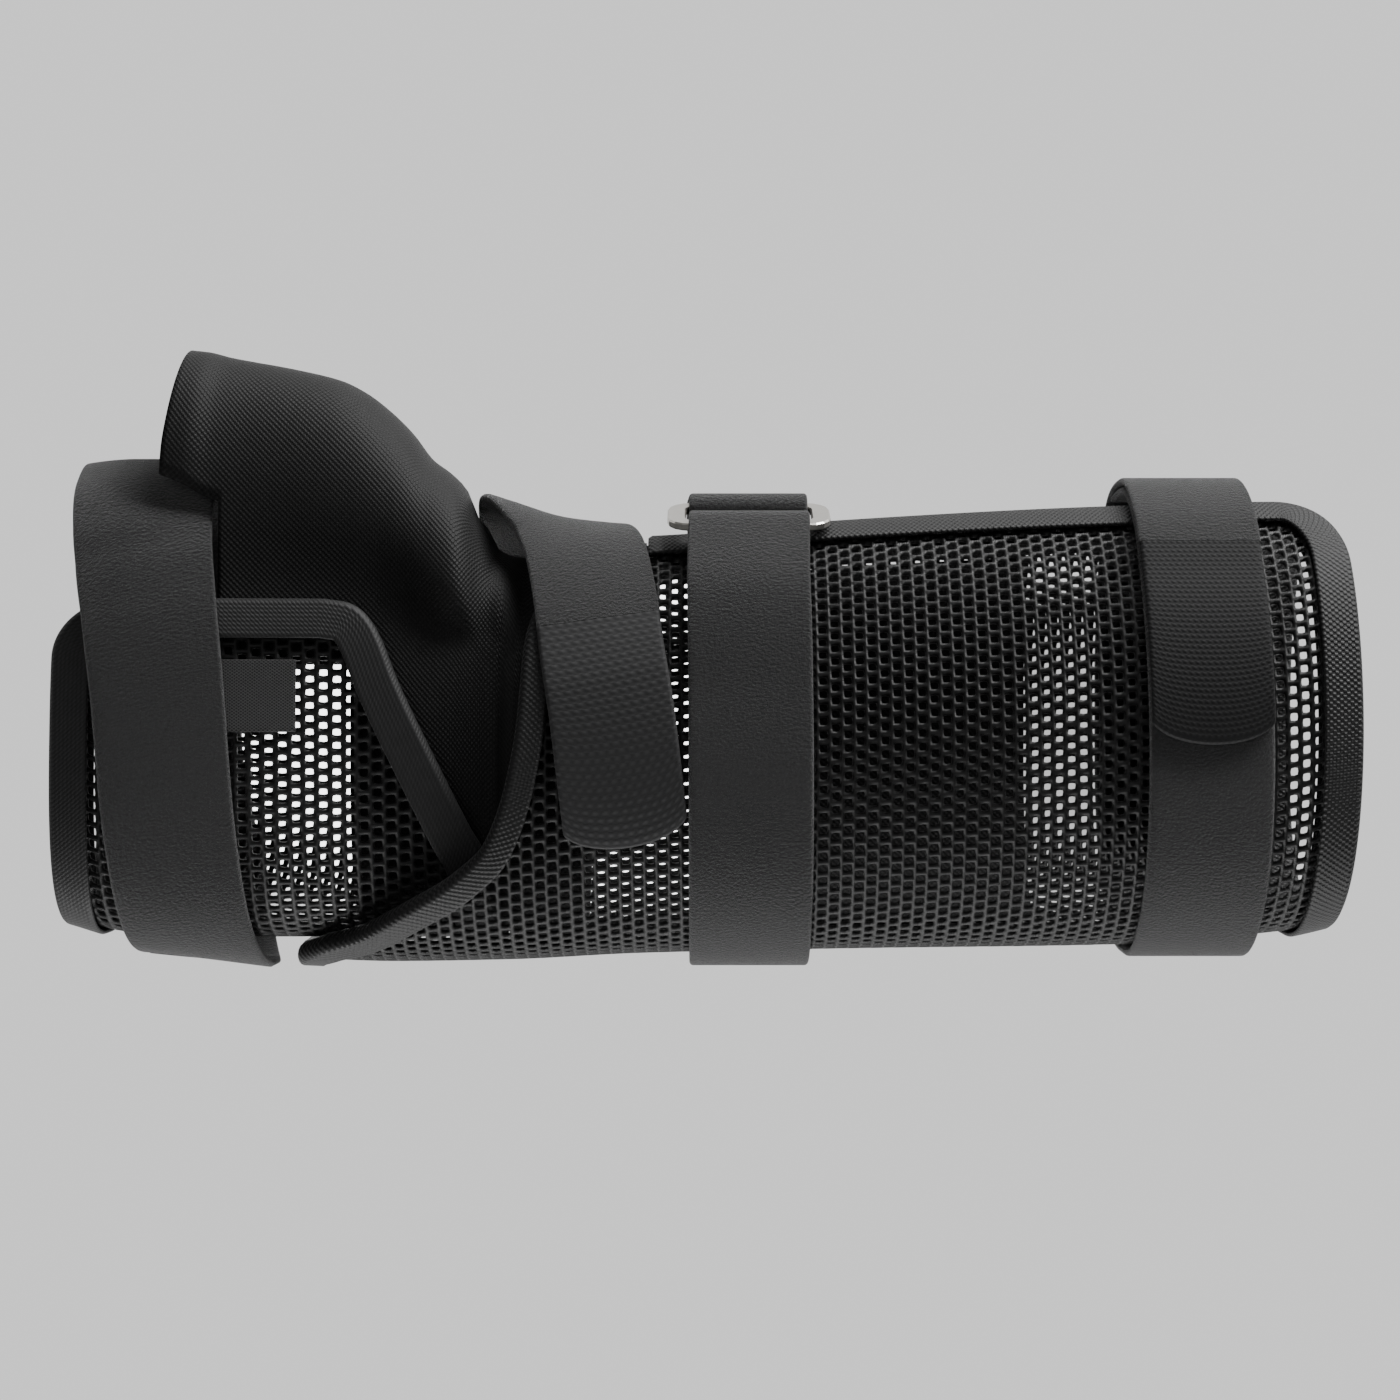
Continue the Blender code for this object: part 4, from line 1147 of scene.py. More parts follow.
@dataclass(frozen=True)
class Dress:
    """A material, and the record's slot that it belongs to."""

    slot: Slot
    material: bpy.types.Material


@dataclass(frozen=True)
class ClothFinish:
    """A dark cloth, with a pattern that follows the place on the flat cloth in millimetres."""

    name: str
    dark: Colour
    light: Colour
    rough: float
    sheen: float
    gloss: float
    sheen_rough: float = 0.5

    def pattern(self, shader: Shader, u: Value, v: Value) -> tuple[Value, Value]:
        """The cloth's own pattern.

        Args:
            shader: The material in the making.
            u: The place across the cloth.
            v: The place along it.

        Returns:
            The share of the light colour, and the relief in millimetres.
        """
        raise NotImplementedError

    def dress(self, slot: Slot) -> Dress:
        """Builds the material.

        Args:
            slot: The slot that it belongs to.

        Returns:
            The material in its slot.
        """
        shader = Shader(self.name)
        share, relief = self.pattern(shader, *shader.cloth_place())
        shader.colour(self.dark, self.light, share)
        shader.bump(relief)
        shader.settings(
            Roughness=self.rough, Sheen_Weight=self.sheen, Sheen_Roughness=self.sheen_rough,
            Specular_IOR_Level=self.gloss,
        )
        return Dress(slot, shader.material)


@dataclass(frozen=True)
class NetFinish(ClothFinish):
    """Smooth black netting with a faint thread."""

    name: str = "black_netting"
    dark: Colour = (0.003, 0.003, 0.003)
    light: Colour = (0.007, 0.007, 0.007)
    rough: float = 0.4
    sheen: float = 0.03
    gloss: float = 0.25
    thread: float = 0.45

    def pattern(self, shader: Shader, u: Value, v: Value) -> tuple[Value, Value]:
        """Twisted threads under faint clouds."""
        twist = ((u + v) * (2 * pi / self.thread)).ripple()
        cloud = shader.noise(shader.vector(u, v), 0.9)
        return cloud, twist * 0.04 + cloud * 0.08


@dataclass(frozen=True)
class FeltFinish(ClothFinish):
    """Short brushed pile with a grain across the strap."""

    name: str = "brushed_felt"
    dark: Colour = (0.009, 0.009, 0.0093)
    light: Colour = (0.019, 0.019, 0.0195)
    rough: float = 0.75
    sheen: float = 0.28
    gloss: float = 0.3
    sheen_rough: float = 0.35

    def pattern(self, shader: Shader, u: Value, v: Value) -> tuple[Value, Value]:
        """Coarse tufts with finer ones on them."""
        coarse = shader.noise(shader.vector(u * 0.85, v * 1.2), 1.5, 4.0)
        pile = coarse * 0.6 + shader.noise(shader.vector(u, v), 6.0, 3.0) * 0.4
        return pile.step(0.35, 0.68), pile * 1.15


@dataclass(frozen=True)
class HookFinish(ClothFinish):
    """Rows of small hooks that stand a little lighter than their ground."""

    name: str = "hook_rows"
    dark: Colour = (0.011, 0.011, 0.0113)
    light: Colour = (0.016, 0.016, 0.0163)
    rough: float = 0.65
    sheen: float = 0.02
    gloss: float = 0.12
    row: float = 1.05
    column: float = 1.25

    def pattern(self, shader: Shader, u: Value, v: Value) -> tuple[Value, Value]:
        """Dots in rows, every other row moved by half a column."""
        line = v / self.row
        across = ((u / self.column + line.whole() * 0.5) * (2 * pi)).ripple()
        dots = across * (line * (2 * pi)).ripple()
        fine = shader.noise(shader.vector(u, v), 5.0)
        return dots * 0.7 + fine * 0.3, dots * 0.11 + fine * 0.03


@dataclass(frozen=True)
class LatticeFinish(ClothFinish):
    """A knitted ground of small diamonds."""

    name: str = "hook_lattice"
    dark: Colour = (0.002, 0.002, 0.002)
    light: Colour = (0.042, 0.042, 0.0425)
    rough: float = 0.55
    sheen: float = 0.05
    gloss: float = 0.3
    pitch: float = 0.62
    steep: float = 0.7

    def pattern(self, shader: Shader, u: Value, v: Value) -> tuple[Value, Value]:
        """Threads that cross at a slant."""
        rising = ((u + v * self.steep) * (pi / self.pitch)).wave().size()
        falling = ((u - v * self.steep) * (pi / self.pitch)).wave().size()
        threads = 1 - rising.maths("MINIMUM", falling).step(0.15, 0.5)
        fine = shader.noise(shader.vector(u, v), 4.0)
        return threads * (fine * 0.7 + 0.3), threads * 0.3 + fine * 0.05


@dataclass(frozen=True)
class WeaveFinish(ClothFinish):
    """A plain weave: short threads that pass over and under each other."""

    dark: Colour = (0.003, 0.003, 0.003)
    light: Colour = (0.009, 0.009, 0.0092)
    rough: float = 0.6
    sheen: float = 0.03
    gloss: float = 0.3
    across: float = 0.6
    along: float = 0.6
    relief: float = 0.12
    diagonal: float = 0.0

    def pattern(self, shader: Shader, u: Value, v: Value) -> tuple[Value, Value]:
        """Raised crossings, by turns in each direction."""
        u_turn = (u + v * self.diagonal) * (pi / self.across)
        v_turn = v * (pi / self.along)
        height = (u_turn.wave() * v_turn.wave()).step(-0.7, 0.9)
        fine = shader.noise(shader.vector(u, v), 0.35)
        return height * 0.6 + fine * 0.4, height * self.relief


@dataclass(frozen=True)
class MetalFinish:
    """Satin nickel with faint wear, which darkens and dulls it a little."""

    name: str = "satin_nickel"
    colour: Colour = (0.60, 0.58, 0.54)
    worn: float = 0.85
    wear_scale: float = 400.0
    rough: tuple[float, float] = (0.24, 0.15)

    def make(self) -> bpy.types.Material:
        """Builds the material.

        Returns:
            The material.
        """
        shader = Shader(self.name)
        place = shader.node("ShaderNodeTexCoord", {}, {}).outputs["Object"]
        wear = shader.noise(place, self.wear_scale, 3.0)
        shader.colour([self.worn * part for part in self.colour], self.colour, wear)
        shader.feed(shader.principled.inputs["Roughness"], wear * self.rough[1] + self.rough[0])
        shader.settings(Metallic=1.0)
        return shader.material


@dataclass(frozen=True)
class FloorFinish:
    """A pale, evenly glowing floor, with painted light (a much brighter glow) under the hand half of the
    brace and painted shade (a dimmer glow) under the rest.
    """

    name: str = "pale_floor"
    level: float = 0.995
    # Glow of the painted pool of light under the hand half, and of the painted shade under the forearm half
    hand_level: float = 5.0
    forearm_level: float = 0.72
    middle: float = -0.018
    half_length: float = 0.128
    half_width: float = 0.042
    halves_meet: tuple[float, float] = (0.05, 0.2)
    rim: tuple[float, float] = (0.8, 1.0)

    def make(self) -> bpy.types.Material:
        """Builds the material.

        Returns:
            The material.
        """
        shader = Shader(self.name)
        place = shader.node("ShaderNodeTexCoord", {}, {}).outputs["Object"]
        parts = shader.node("ShaderNodeSeparateXYZ", {}, {"Vector": place})
        x = Value(shader.tree, parts.outputs["X"]) / self.half_length
        y = (Value(shader.tree, parts.outputs["Y"]) - self.middle) / self.half_width
        away = (x * x * x * x + y * y * y * y).maths("POWER", 0.25)
        # Painted light under the hand half fading into painted shade under the forearm half, in a rounded
        # patch whose rim fades back to the even floor
        under = x.step(*self.halves_meet) * (self.forearm_level - self.hand_level) + self.hand_level
        level = (1 - away.step(*self.rim)) * (under - self.level) + self.level
        glow = shader.node("ShaderNodeEmission", {}, {"Strength": level})
        shader.feed(shader.tree.nodes["Material Output"].inputs["Surface"], glow.outputs["Emission"])
        return shader.material


@dataclass
class SoftPiece:
    """One cloth piece: its shape in the tables' frame, the solid that it stands for, and its dress.

    The surface is how much of it the shape has for each square metre of cloth on either face, or None
    where the cloth is a plain rectangle.
    """

    name: str
    shape: Shape
    node: str
    dress: Dress
    held: str
    rests_on: tuple[str, ...] = ()
    surface: float | None = None

    def build(self) -> None:
        flat, area = self.shape.flat(), None
        if self.surface is not None:
            area = min(self.shape.area() / 2 / self.surface, MOST_OF_RECTANGLE * flat[0] * flat[1])
        self.shape.points = self.shape.points + SHIFT
        piece = self.shape.build(self.name)
        piece.data.materials.append(self.dress.material)
        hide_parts(self.node)
        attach(piece, BODY)
        LOG.info("%s: %d faces", self.name, len(self.shape.quads))


@dataclass
class Finishes:
    """The finishes of the brace, made once each."""

    net: Dress
    felt: Dress
    rows: Dress
    wrist_rows: Dress
    lattice: Dress
    fine_tape: Dress
    coarse_tape: Dress
    thumb_tape: Dress
    sheet: Dress
    metal: bpy.types.Material

    @classmethod
    def make(cls) -> "Finishes":
        """Builds every finish.

        Returns:
            The finishes.
        """
        wrist_rows = HookFinish(
            "wrist_hook_rows", (0.028, 0.028, 0.0285), (0.041, 0.041, 0.0416), row=1.4, column=2.0,
        )
        fine_tape = WeaveFinish(
            "ribbed_tape", light=(0.018, 0.018, 0.0184), across=0.45, along=0.9, relief=0.06, diagonal=0.5,
        )
        coarse_tape = WeaveFinish("woven_tape", rough=0.55, across=0.75, relief=0.16)
        sheet = WeaveFinish(
            "basket_sheet", (0.0015, 0.0015, 0.0015), (0.0085, 0.0085, 0.0085), rough=0.58, gloss=0.2,
        )
        return cls(
            net=NetFinish().dress(Slot.MESH),
            felt=FeltFinish().dress(Slot.LOOP),
            rows=HookFinish().dress(Slot.HOOK),
            wrist_rows=wrist_rows.dress(Slot.HOOK),
            lattice=LatticeFinish().dress(Slot.HOOK),
            fine_tape=fine_tape.dress(Slot.FINE_TAPE),
            coarse_tape=coarse_tape.dress(Slot.COARSE_TAPE),
            thumb_tape=WeaveFinish("edge_tape", rough=0.55, across=0.7).dress(Slot.COARSE_TAPE),
            sheet=sheet.dress(Slot.SHEET),
            metal=MetalFinish().make(),
        )


@dataclass
class Sleeves:
    """The two mesh sleeves and the tapes folded round their edges."""

    finishes: Finishes
    forearm: Panel = field(default_factory=forearm_panel)
    hand: Panel = field(default_factory=hand_panel)
    thumb_binding: float = 4.4 * MM
    near_start: float = 5.2 * MM
    far_start: float = 11.0 * MM
    thumb_end: float = 0.0055
    tape_step: float = 0.9 * MM
    hand_stations: int = 60
    slit_stations: int = 150
    corner_stations: int = 320
    thumb_stations: int = 420

    def corners(self) -> np.ndarray:
        """Shares across a panel, closer together at both ends."""
        return 0.5 - 0.5 * np.cos(np.linspace(0, pi, self.corner_stations))

    def hand_route(self) -> np.ndarray:
        """The hand sleeve's whole rim, with the cloth on the left.

        Returns:
            Places (x, share) along it.
        """
        panel, shares, count = self.hand, self.corners(), self.hand_stations
        ends = [float(edge(np.array([0.0]))[0]) for edge in (panel.hand_edge, panel.arm_edge)]
        line = np.linspace(ends[0], ends[1], count)
        near = np.stack([line, np.zeros(count)], -1)
        far = np.stack([line[::-1], np.ones(count)], -1)
        arm = np.stack([panel.arm_edge(shares), shares], -1)
        hand = np.stack([panel.hand_edge(shares), shares], -1)[::-1]
        return np.concatenate([near[:-1], arm[:-1], far[:-1], hand[:-1]])

    def forearm_route(self) -> np.ndarray:
        """The forearm's rim along the slit and round the arm end.

        Returns:
            Places (x, share) along it.
        """
        panel, shares, count = self.forearm, self.corners(), self.slit_stations
        first, last = panel.hand_edge(np.array([0.0, 1.0])) + [self.near_start, self.far_start]
        end = float(panel.arm_edge(np.array([0.0]))[0])
        near = np.stack([np.linspace(first, end, count), np.zeros(count)], -1)
        arm = np.stack([panel.arm_edge(shares), shares], -1)
        far = np.stack([np.linspace(end, last, count), np.ones(count)], -1)
        return np.concatenate([near[:-1], arm[:-1], far])

    def thumb_route(self) -> np.ndarray:
        """The forearm's edge round the thumb, as places (x, share)."""
        shares = np.linspace(self.thumb_end, 1 - self.thumb_end, self.thumb_stations)[::-1]
        return np.stack([self.forearm.hand_edge(shares), shares], -1)

    def build(self) -> None:
        """Builds both sleeves."""
        far_net = Net(self.forearm, column=2.727 * MM, row=3.04 * MM, hole=1.75 * MM, origin=-0.37 * MM)
        palm_net = Net(self.hand, column=2.72 * MM, row=2.68 * MM, hole=1.70 * MM)
        back_net = Net(self.hand, column=3.0 * MM, row=2.94 * MM, hole=2.1 * MM, shift=-0.57 * MM)
        nets = (
            ("forearm_net_near", "forearm_mesh_shell", Net(self.forearm), True),
            ("forearm_net_far", "forearm_mesh_shell", far_net, False),
            ("hand_net_near", "hand_mesh_shell", palm_net, True),
            ("hand_net_far", "hand_mesh_shell", back_net, False),
        )
        made = self.finishes
        for name, node, net, near in nets:
            SoftPiece(name, net.shape(near), node, made.net, "folded", surface=NET_SURFACE).build()
        tapes = (
            ("hand_binding", self.hand, self.hand_route(), BINDING_WIDTH, made.fine_tape),
            ("forearm_binding", self.forearm, self.forearm_route(), BINDING_WIDTH, made.coarse_tape),
            ("thumb_edge_binding", self.forearm, self.thumb_route(), self.thumb_binding, made.thumb_tape),
        )
        for name, panel, route, width, dress in tapes:
            closed = panel is self.hand
            points = folded_tape(panel, route, closed, width, self.tape_step)
            SoftPiece(name + "_cloth", strip(points, TAPE, closed), name, dress, "folded").build()


@dataclass
class ThumbGuard:
    """The smooth sheet that arches over the thumb and runs into both sleeves."""

    finishes: Finishes
    start: float = -110.0 * MM
    notch: float = -98.2 * MM
    band: float = -71.0 * MM
    end: float = -24.0 * MM
    height: float = 73.0 * MM
    depth: float = 58.5 * MM
    skirt: float = 8.0 * MM
    rim: float = 21.0 * MM
    end_lean: float = 3.6 * MM
    joins: float = -41.5 * MM
    inside: float = -36.5 * MM
    leaning: float = 0.2
    arch_round: float = 2.2
    low_share: float = 0.155
    high_share: float = 0.135
    row_step: float = 1.05 * MM
    least_step: float = 0.35 * MM
    eased: int = 6
    legs: int = 8
    walls: int = 2
    arch: int = 12
    finer: int = 5

    def section(self, along: float) -> np.ndarray:
        """One section, from the bottom line up the near wall and round.

        Args:
            along: The share of the guard's length.

        Returns:
            The section's points.
        """
        x = self.start + (self.end - self.start) * along
        row = [float(read_column(GUARD_ROWS, name, along)) for name in GuardRow._fields[1:]]
        crest, spring = row[0] * self.height, row[1] * self.height
        walls = {Side.NEAR: row[2] * self.depth, Side.FAR: row[3] * self.depth}
        legs, sides = self.legs * self.finer, {}
        for side, wall in walls.items():
            high = float(HAND.down_to(x, self.skirt, side))
            way = np.linspace(float(HAND.girth(x)) / 2, high, legs + 1)
            leg = HAND.place(np.full(len(way), x), way, -GUARD_UNDER)
            rim = float(HAND.down_to(x, min(self.rim, (self.skirt + spring) / 2), side))
            way = np.linspace(high, rim, self.finer + 1)[1:]
            low = HAND.place(np.full(len(way), x), way, -GUARD_UNDER)
            share = np.linspace(0, 1, self.finer + 1)[1:, None]
            free = low[-1] * (1 - share) + np.array([x, spring, wall]) * share
            sides[side] = np.concatenate([leg, low, free])
        turn = np.linspace(0, pi, self.arch * self.finer + 1)[1:-1]
        up = np.sin(turn) ** (2 / self.arch_round)
        out = np.sign(np.cos(turn)) * np.abs(np.cos(turn)) ** (2 / self.arch_round)
        lean = self.end_lean * max(0.0, 1 - along / self.leaning)
        near, far = walls[Side.NEAR], walls[Side.FAR]
        depth = (near + far) / 2 + (near - far) / 2 * out
        arch = np.stack([x + lean * up, spring + (crest - spring) * up, depth], -1)
        free = np.concatenate([sides[Side.NEAR], arch, sides[Side.FAR][::-1]])
        inside = float(smooth_step((x - self.joins) / (self.inside - self.joins)))
        if inside == 0:
            return free
        low = np.linspace(0.5, self.low_share, legs + 1)
        wall = np.linspace(self.low_share, self.high_share, self.walls * self.finer + 1)[1:]
        over = np.linspace(self.high_share, -self.high_share, self.arch * self.finer + 1)[1:-1]
        share = np.concatenate([low, wall, over, -wall[::-1], -low[::-1]])
        held = FOREARM.place(np.full(len(share), x), float(FOREARM.girth(x)) * share, -GUARD_UNDER)
        return free * (1 - inside) + held * inside

    def build(self) -> None:
        """Builds the guard."""
        kept = [self.notch, self.band, self.end]
        places = np.unique(np.concatenate([np.arange(self.start, self.end, self.row_step), kept]))
        apart = np.concatenate([[True], np.diff(places) > self.least_step])
        places = places[apart | np.isin(places, kept)]
        notch, band = (int(np.argmin(np.abs(places - place))) for place in kept[:2])
        rows = np.array([self.section((x - self.start) / (self.end - self.start)) for x in places])
        rows = np.moveaxis(softened(np.moveaxis(rows, 1, 0), self.eased), 0, 1)
        i = np.arange(len(rows) - 1)[:, None]
        j = np.arange(rows.shape[1] - 1)[None, :]
        from_bottom = np.minimum(j, rows.shape[1] - 2 - j)
        legs, walls = self.legs * self.finer, (self.legs + self.walls) * self.finer
        keep = np.where(from_bottom < legs, i >= band, np.where(from_bottom < walls, i >= notch, True))
        keep = keep | np.zeros((len(i), rows.shape[1] - 1), bool)
        shape = thick_grid(rows, LINER, strip_places(rows), keep=keep)
        dress = self.finishes.sheet
        SoftPiece("thumb_guard_sheet", shape, "thumb_guard", dress, "folded", surface=1.0).build()


class LacedHalf(NamedTuple):
    """One half of the middle strap: its side, where it folds and leaves the ring, its end, and its layers."""

    name: str
    side: int
    fold: float
    leave: float
    end: float
    inner: Sequence[LayerRow]
    outer: Sequence[LayerRow]


@dataclass
class Straps:
    """The closing straps, their hook tabs, and the ring of the middle one."""

    finishes: Finishes
    hand_x: float = -100.0 * MM
    hand_width: float = 25.5 * MM
    wrist_x: float = -18.0 * MM
    wrist_far_end: float = 38.0 * MM
    wrist_tab_start: float = 32.0 * MM
    wrist_tab_length: float = 45.0 * MM
    centre_x: float = RING_MIDDLE[0]
    centre_join: float = 150.0 * MM
    centre_fold: float = 16.0 * MM
    forearm_x: float = 102.1 * MM
    forearm_start: float = -0.04
    forearm_tab_start: float = 22.5 * MM
    forearm_tab_length: float = 41.0 * MM
    forearm_tab_width: float = 24.6 * MM
    nose: float = 4.5 * MM
    seam: float = 0.06 * MM
    step: float = 1.1 * MM
    ring_depth: float = 16.5 * MM
    ring_bar: float = 3.0 * MM
    ring_thickness: float = 1.6 * MM
    ring_tilt: float = radians(20)
    past_bar: float = radians(40)
    hand_stations: int = 220
    layer_stations: int = 150
    outer_stations: int = 50
    tab_stations: int = 40
    inner_stations: int = 8
    bar_stations: int = 19

    def over(self, width: float) -> np.ndarray:
        """Distances across a strap."""
        return edge_stations(width, STRAP_ACROSS_STEP, STRAP)

    def strap(self, name: str, points: np.ndarray, closed: bool = False, end: bool = True) -> None:
        """Builds one felt strap from its rows of points, its last end cut square where end is False."""
        shape = strip(points, STRAP, closed, end=end)
        SoftPiece(name + "_felt", shape, name, self.finishes.felt, "stretched").build()

    def tab(self, name: str, points: np.ndarray, dress: Dress) -> None:
        """Builds one hook tab from its rows of points."""
        shape = strip(with_round_nose(points, self.nose), STRAP, start=False)
        SoftPiece(name + "_fabric", shape, name, dress, "laid").build()

    def wrist_rest(self, share: np.ndarray) -> np.ndarray:
        """The lift at which the wrist strap rests: on the bindings near the top, then on the cloth."""
        down = np.clip((share - 0.18) / 0.08, 0, 1)
        return STRAP_OVER_BINDING + (STRAP_LIFT - STRAP_OVER_BINDING) * down

    def build_hand_strap(self) -> None:
        """Builds the strap round the hand sleeve."""
        shares = np.linspace(-0.5, 0.5, self.hand_stations + 1)[:-1]
        points = strap_grid(
            HAND, HAND_STRAP_ROWS, self.hand_x, self.hand_width, shares,
            lambda share: np.full(share.shape, STRAP_OVER_BINDING), self.over(self.hand_width),
        )
        self.strap("hand_strap", points, closed=True)

    def wrist_points(self, start: float, end: float) -> np.ndarray:
        """Rows of the wrist strap between two distances from the top line."""
        girth = float(FOREARM.girth(self.wrist_x))
        shares = (start + edge_stations(end - start, self.step, STRAP)) / girth
        return strap_grid(
            FOREARM, WRIST_STRAP_ROWS, self.wrist_x, STRAP_WIDTH, shares, self.wrist_rest,
            self.over(STRAP_WIDTH),
        )

    def build_wrist_strap(self) -> None:
        """Builds the strap over the wrist and its tab."""
        start, tab = -self.wrist_far_end, self.wrist_tab_start
        self.strap("wrist_strap", self.wrist_points(start, tab - self.seam), end=False)
        points = self.wrist_points(tab, tab + self.wrist_tab_length)
        self.tab("wrist_strap_hook_tab", points, self.finishes.wrist_rows)

    def ring_point(self, along: Any, lift: Any) -> np.ndarray:
        """Places in the ring's plane: distance towards the near bar, and lift out of the plane."""
        tilt = self.ring_tilt
        near, out = np.array([0, -np.sin(tilt), np.cos(tilt)]), np.array([0, np.cos(tilt), np.sin(tilt)])
        return np.array(RING_MIDDLE) + np.outer(along, near) + np.outer(lift, out)

    def bar_fold(self, side: int) -> np.ndarray:
        """Points of the strap's turn round one bar, from its inner face to its outer one."""
        turn = np.linspace(pi, -self.past_bar, self.bar_stations)
        bar = side * (self.ring_depth - self.ring_bar) / 2
        reach = self.ring_bar / 2 + 2 * GAP + STRAP / 2
        stand = self.ring_thickness / 2 + 2 * GAP + STRAP / 2
        return self.ring_point(bar - side * reach * np.sin(turn), stand * np.cos(turn))

    def build_centre_strap(self) -> None:
        """Builds the two halves of the strap that is laced through the ring."""
        girth = float(FOREARM.girth(self.centre_x))
        join = self.centre_join / girth
        far_end = 1 - join - 2 * GAP / girth
        halves = (
            LacedHalf("centre_strap_near", 1, 0.085, 0.095, join, CENTRE_NEAR_INNER, CENTRE_NEAR_OUTER),
            LacedHalf("centre_strap_far", -1, 0.025, 0.035, far_end, CENTRE_FAR_INNER, CENTRE_FAR_OUTER),
        )
        for half in halves:
            far = half.side < 0
            back = np.linspace(half.fold + self.centre_fold / girth, half.leave, self.inner_stations)
            down = np.linspace(half.leave, half.end, self.outer_stations)
            line = np.concatenate([
                layer_line(half.inner, self.centre_x, back, far),
                self.bar_fold(half.side),
                layer_line(half.outer, self.centre_x, down, far),
            ])
            self.strap(half.name, flat_strip(softened(line, 2), STRAP_WIDTH, self.step, STRAP))

    def build_forearm_strap(self) -> None:
        """Builds the strap round the forearm and its tab."""
        girth = float(FOREARM.girth(self.forearm_x))
        tab = 1 + self.forearm_tab_start / girth
        shares = np.linspace(self.forearm_start, tab - self.seam / girth, self.layer_stations)
        line = layer_line(FOREARM_STRAP_LAYERS, self.forearm_x, shares)
        self.strap("forearm_strap", flat_strip(line, STRAP_WIDTH, self.step, STRAP), end=False)
        shares = np.linspace(tab, tab + self.forearm_tab_length / girth, self.tab_stations)
        line = layer_line(FOREARM_STRAP_LAYERS, self.forearm_x, shares)
        points = flat_strip(line, self.forearm_tab_width, self.step, STRAP)
        self.tab("forearm_strap_hook_tab", points, self.finishes.rows)

    def build_ring(self) -> None:
        """Gives the ring its metal."""
        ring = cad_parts["strap_ring"]
        for place in ring.material_slots:
            place.material = self.finishes.metal
        LOG.info("strap_ring: %s", ring.name)

    def build(self) -> None:
        """Builds every strap."""
        self.build_hand_strap()
        self.build_wrist_strap()
        self.build_centre_strap()
        self.build_forearm_strap()
        self.build_ring()


@dataclass
class Patches:
    """The hook patch on the hand sleeve, and the pocket inside the forearm's far wall."""

    finishes: Finishes
    patch_thickness: float = 1.0 * MM
    patch_end: float = -81.5 * MM
    patch_length: float = 21.0 * MM
    patch_width: float = 14.5 * MM
    patch_top: float = 8.0 * MM
    pocket_start: float = 12.0 * MM
    pocket_end: float = 73.0 * MM
    pocket_below: float = 10.0 * MM
    pocket_above: float = 23.0 * MM

    def build_patch(self) -> None:
        """Builds the hook patch."""
        thickness, start = self.patch_thickness, self.patch_end - self.patch_length
        x = start + edge_stations(self.patch_length, PATCH_STEP, thickness)
        down = edge_stations(self.patch_width, PATCH_STEP, thickness)
        top = HAND.down_to(x, self.patch_top, Side.NEAR)
        points = HAND.place(x[:, None], top[:, None] + down[None], CLOTH / 2 + GAP + thickness / 2)
        SoftPiece(
            "hand_hook_patch_fabric", strip(points, thickness), "hand_hook_patch", self.finishes.lattice,
            "laid", ("hand_net_near",),
        ).build()

    def build_pocket(self) -> None:
        """Builds the pocket."""
        x = self.pocket_start + edge_stations(self.pocket_end - self.pocket_start, POCKET_STEP, LINER)
        low = FOREARM.girth(x) / 2 + self.pocket_below
        high = FOREARM.girth(x) - self.pocket_above
        across = edge_stations(float((high - low).mean()), POCKET_STEP, LINER)
        way = low[:, None] + (high - low)[:, None] * (across / across[-1])[None]
        points = FOREARM.place(x[:, None], way, -(CLOTH / 2 + 1.5 * GAP + LINER / 2))
        SoftPiece(
            "stay_pocket_sheet", strip(points, LINER), "stay_pocket", self.finishes.sheet,
            "laid", ("forearm_net_far",),
        ).build()

    def build(self) -> None:
        """Builds both."""
        self.build_patch()
        self.build_pocket()


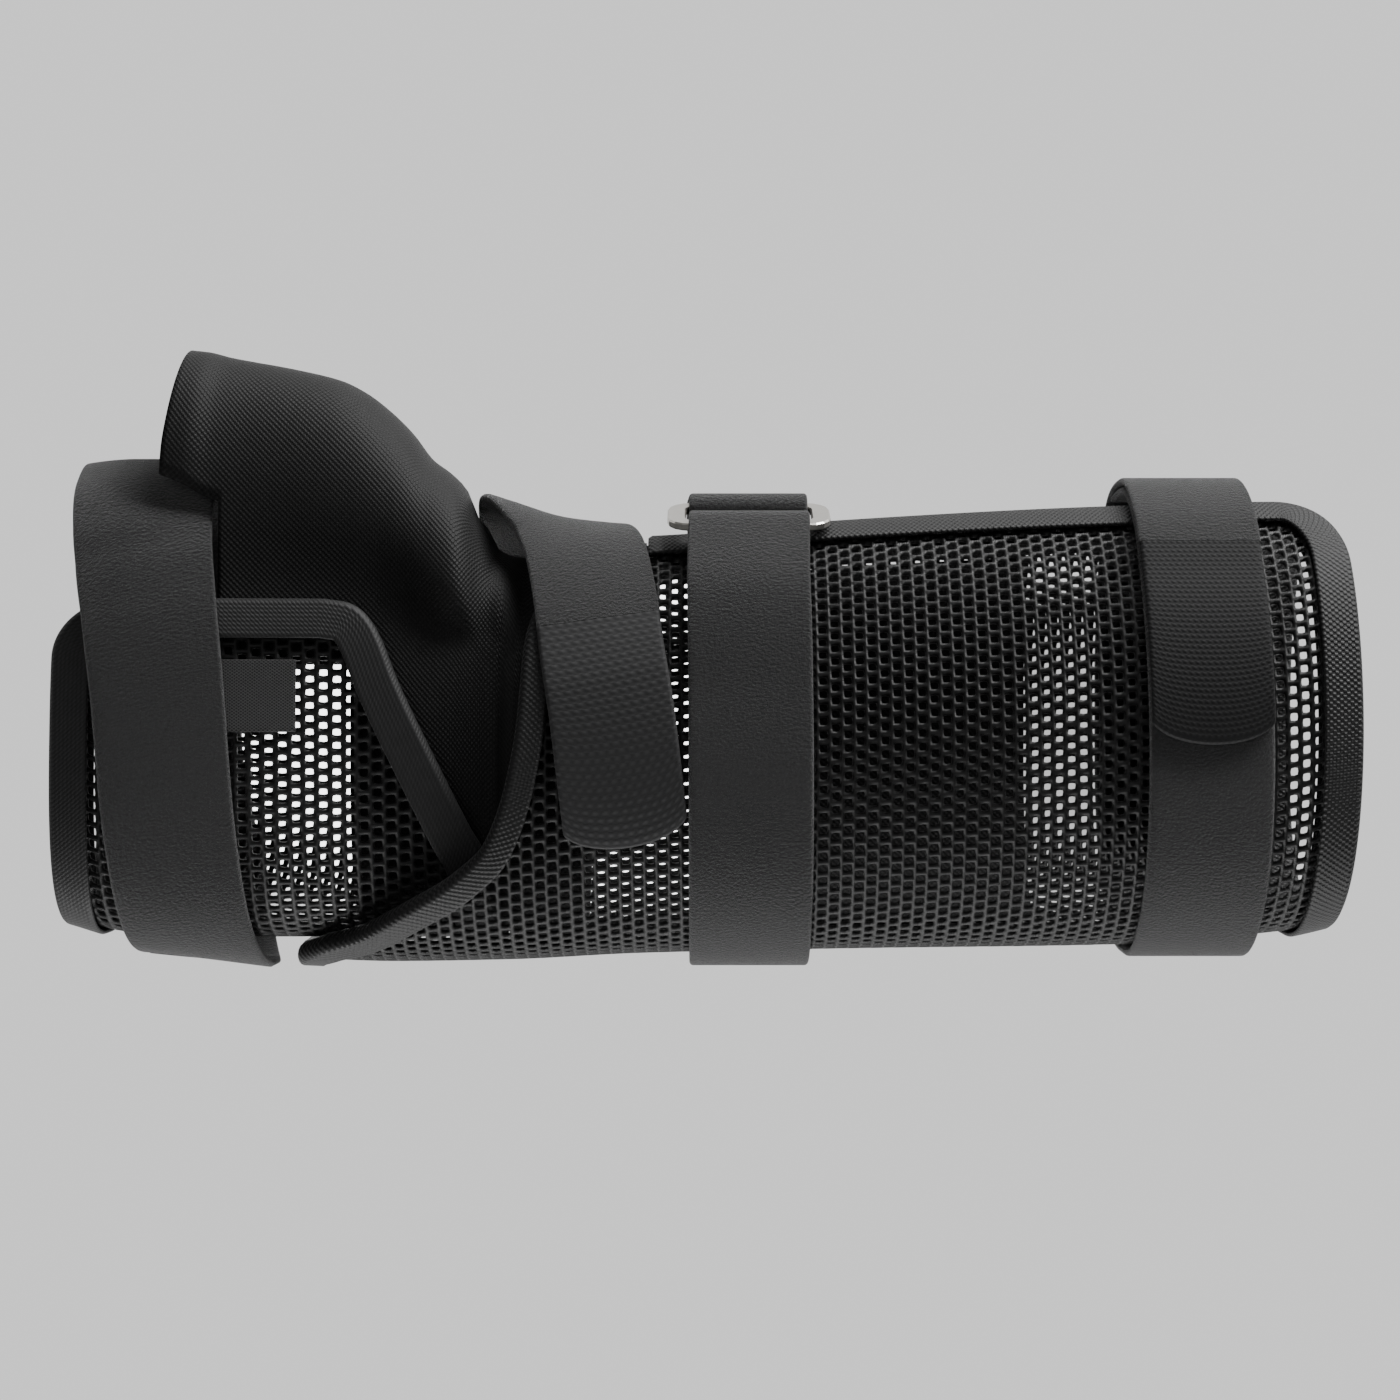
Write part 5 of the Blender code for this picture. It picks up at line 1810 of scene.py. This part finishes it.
@dataclass(frozen=True)
class SoftLight:
    """A large soft light that looks at the brace."""

    name: str
    place: tuple[float, float, float]
    size: tuple[float, float]
    power: float

    def build(self) -> None:
        """Makes the light."""
        light = bpy.data.lights.new(self.name, "AREA")
        light.shape = "RECTANGLE"
        light.size, light.size_y = self.size
        light.energy = self.power
        lamp = bpy.data.objects.new(self.name, light)
        lamp.location = self.place
        lamp.rotation_euler = (-Vector(self.place)).to_track_quat("-Z", "Y").to_euler()
        bpy.context.scene.collection.objects.link(lamp)


@dataclass(frozen=True)
class Studio:
    """Floor, lights and camera."""

    floor_size: float = 3.0
    floor_drop: float = 0.3 * MM
    camera_height: float = 0.546
    lens: float = 61.71
    sensor: float = 36.0
    ambient: float = 0.12
    lights: tuple[SoftLight, ...] = (
        SoftLight("top_light", (0.42, 0.72, 0.16), (0.8, 0.30), 17.0),
        SoftLight("bottom_light", (0.0, -0.75, 0.14), (1.1, 0.30), 11.5),
        SoftLight("front_light", (-0.25, 0.15, 1.3), (1.0, 1.0), 2.8),
    )

    def build(self) -> None:
        """Builds the studio."""
        half = self.floor_size / 2
        mesh = bpy.data.meshes.new("floor")
        corners = [(-half, -half, 0), (half, -half, 0), (half, half, 0), (-half, half, 0)]
        mesh.from_pydata(corners, [], [(0, 1, 2, 3)])
        # The floor glows, with painted light and painted shade under the brace
        mesh.materials.append(FloorFinish().make())
        floor = bpy.data.objects.new("floor", mesh)
        floor.location = (0, 0, -self.floor_drop)
        bpy.context.scene.collection.objects.link(floor)
        world = bpy.data.worlds.new("studio")
        world.use_nodes = True
        background = world.node_tree.nodes["Background"]
        background.inputs["Color"].default_value = (1.0, 1.0, 1.0, 1.0)
        background.inputs["Strength"].default_value = self.ambient
        bpy.context.scene.world = world
        for light in self.lights:
            light.build()
        camera = bpy.data.objects.new("photo_camera", bpy.data.cameras.new("photo_camera"))
        camera.data.lens = self.lens
        camera.data.sensor_width = self.sensor
        camera.location = (SHIFT[0], SHIFT[1], self.camera_height + SHIFT[2])
        bpy.context.scene.collection.objects.link(camera)
        bpy.context.scene.camera = camera


def main() -> None:
    """Builds the brace and its studio."""
    logging.basicConfig(level=logging.INFO, format="%(message)s")
    finishes = Finishes.make()
    for group in (Sleeves(finishes), ThumbGuard(finishes), Straps(finishes), Patches(finishes)):
        group.build()
        LOG.info("%s is built", type(group).__name__)
    Studio().build()


if __name__ == "__main__":
    main()
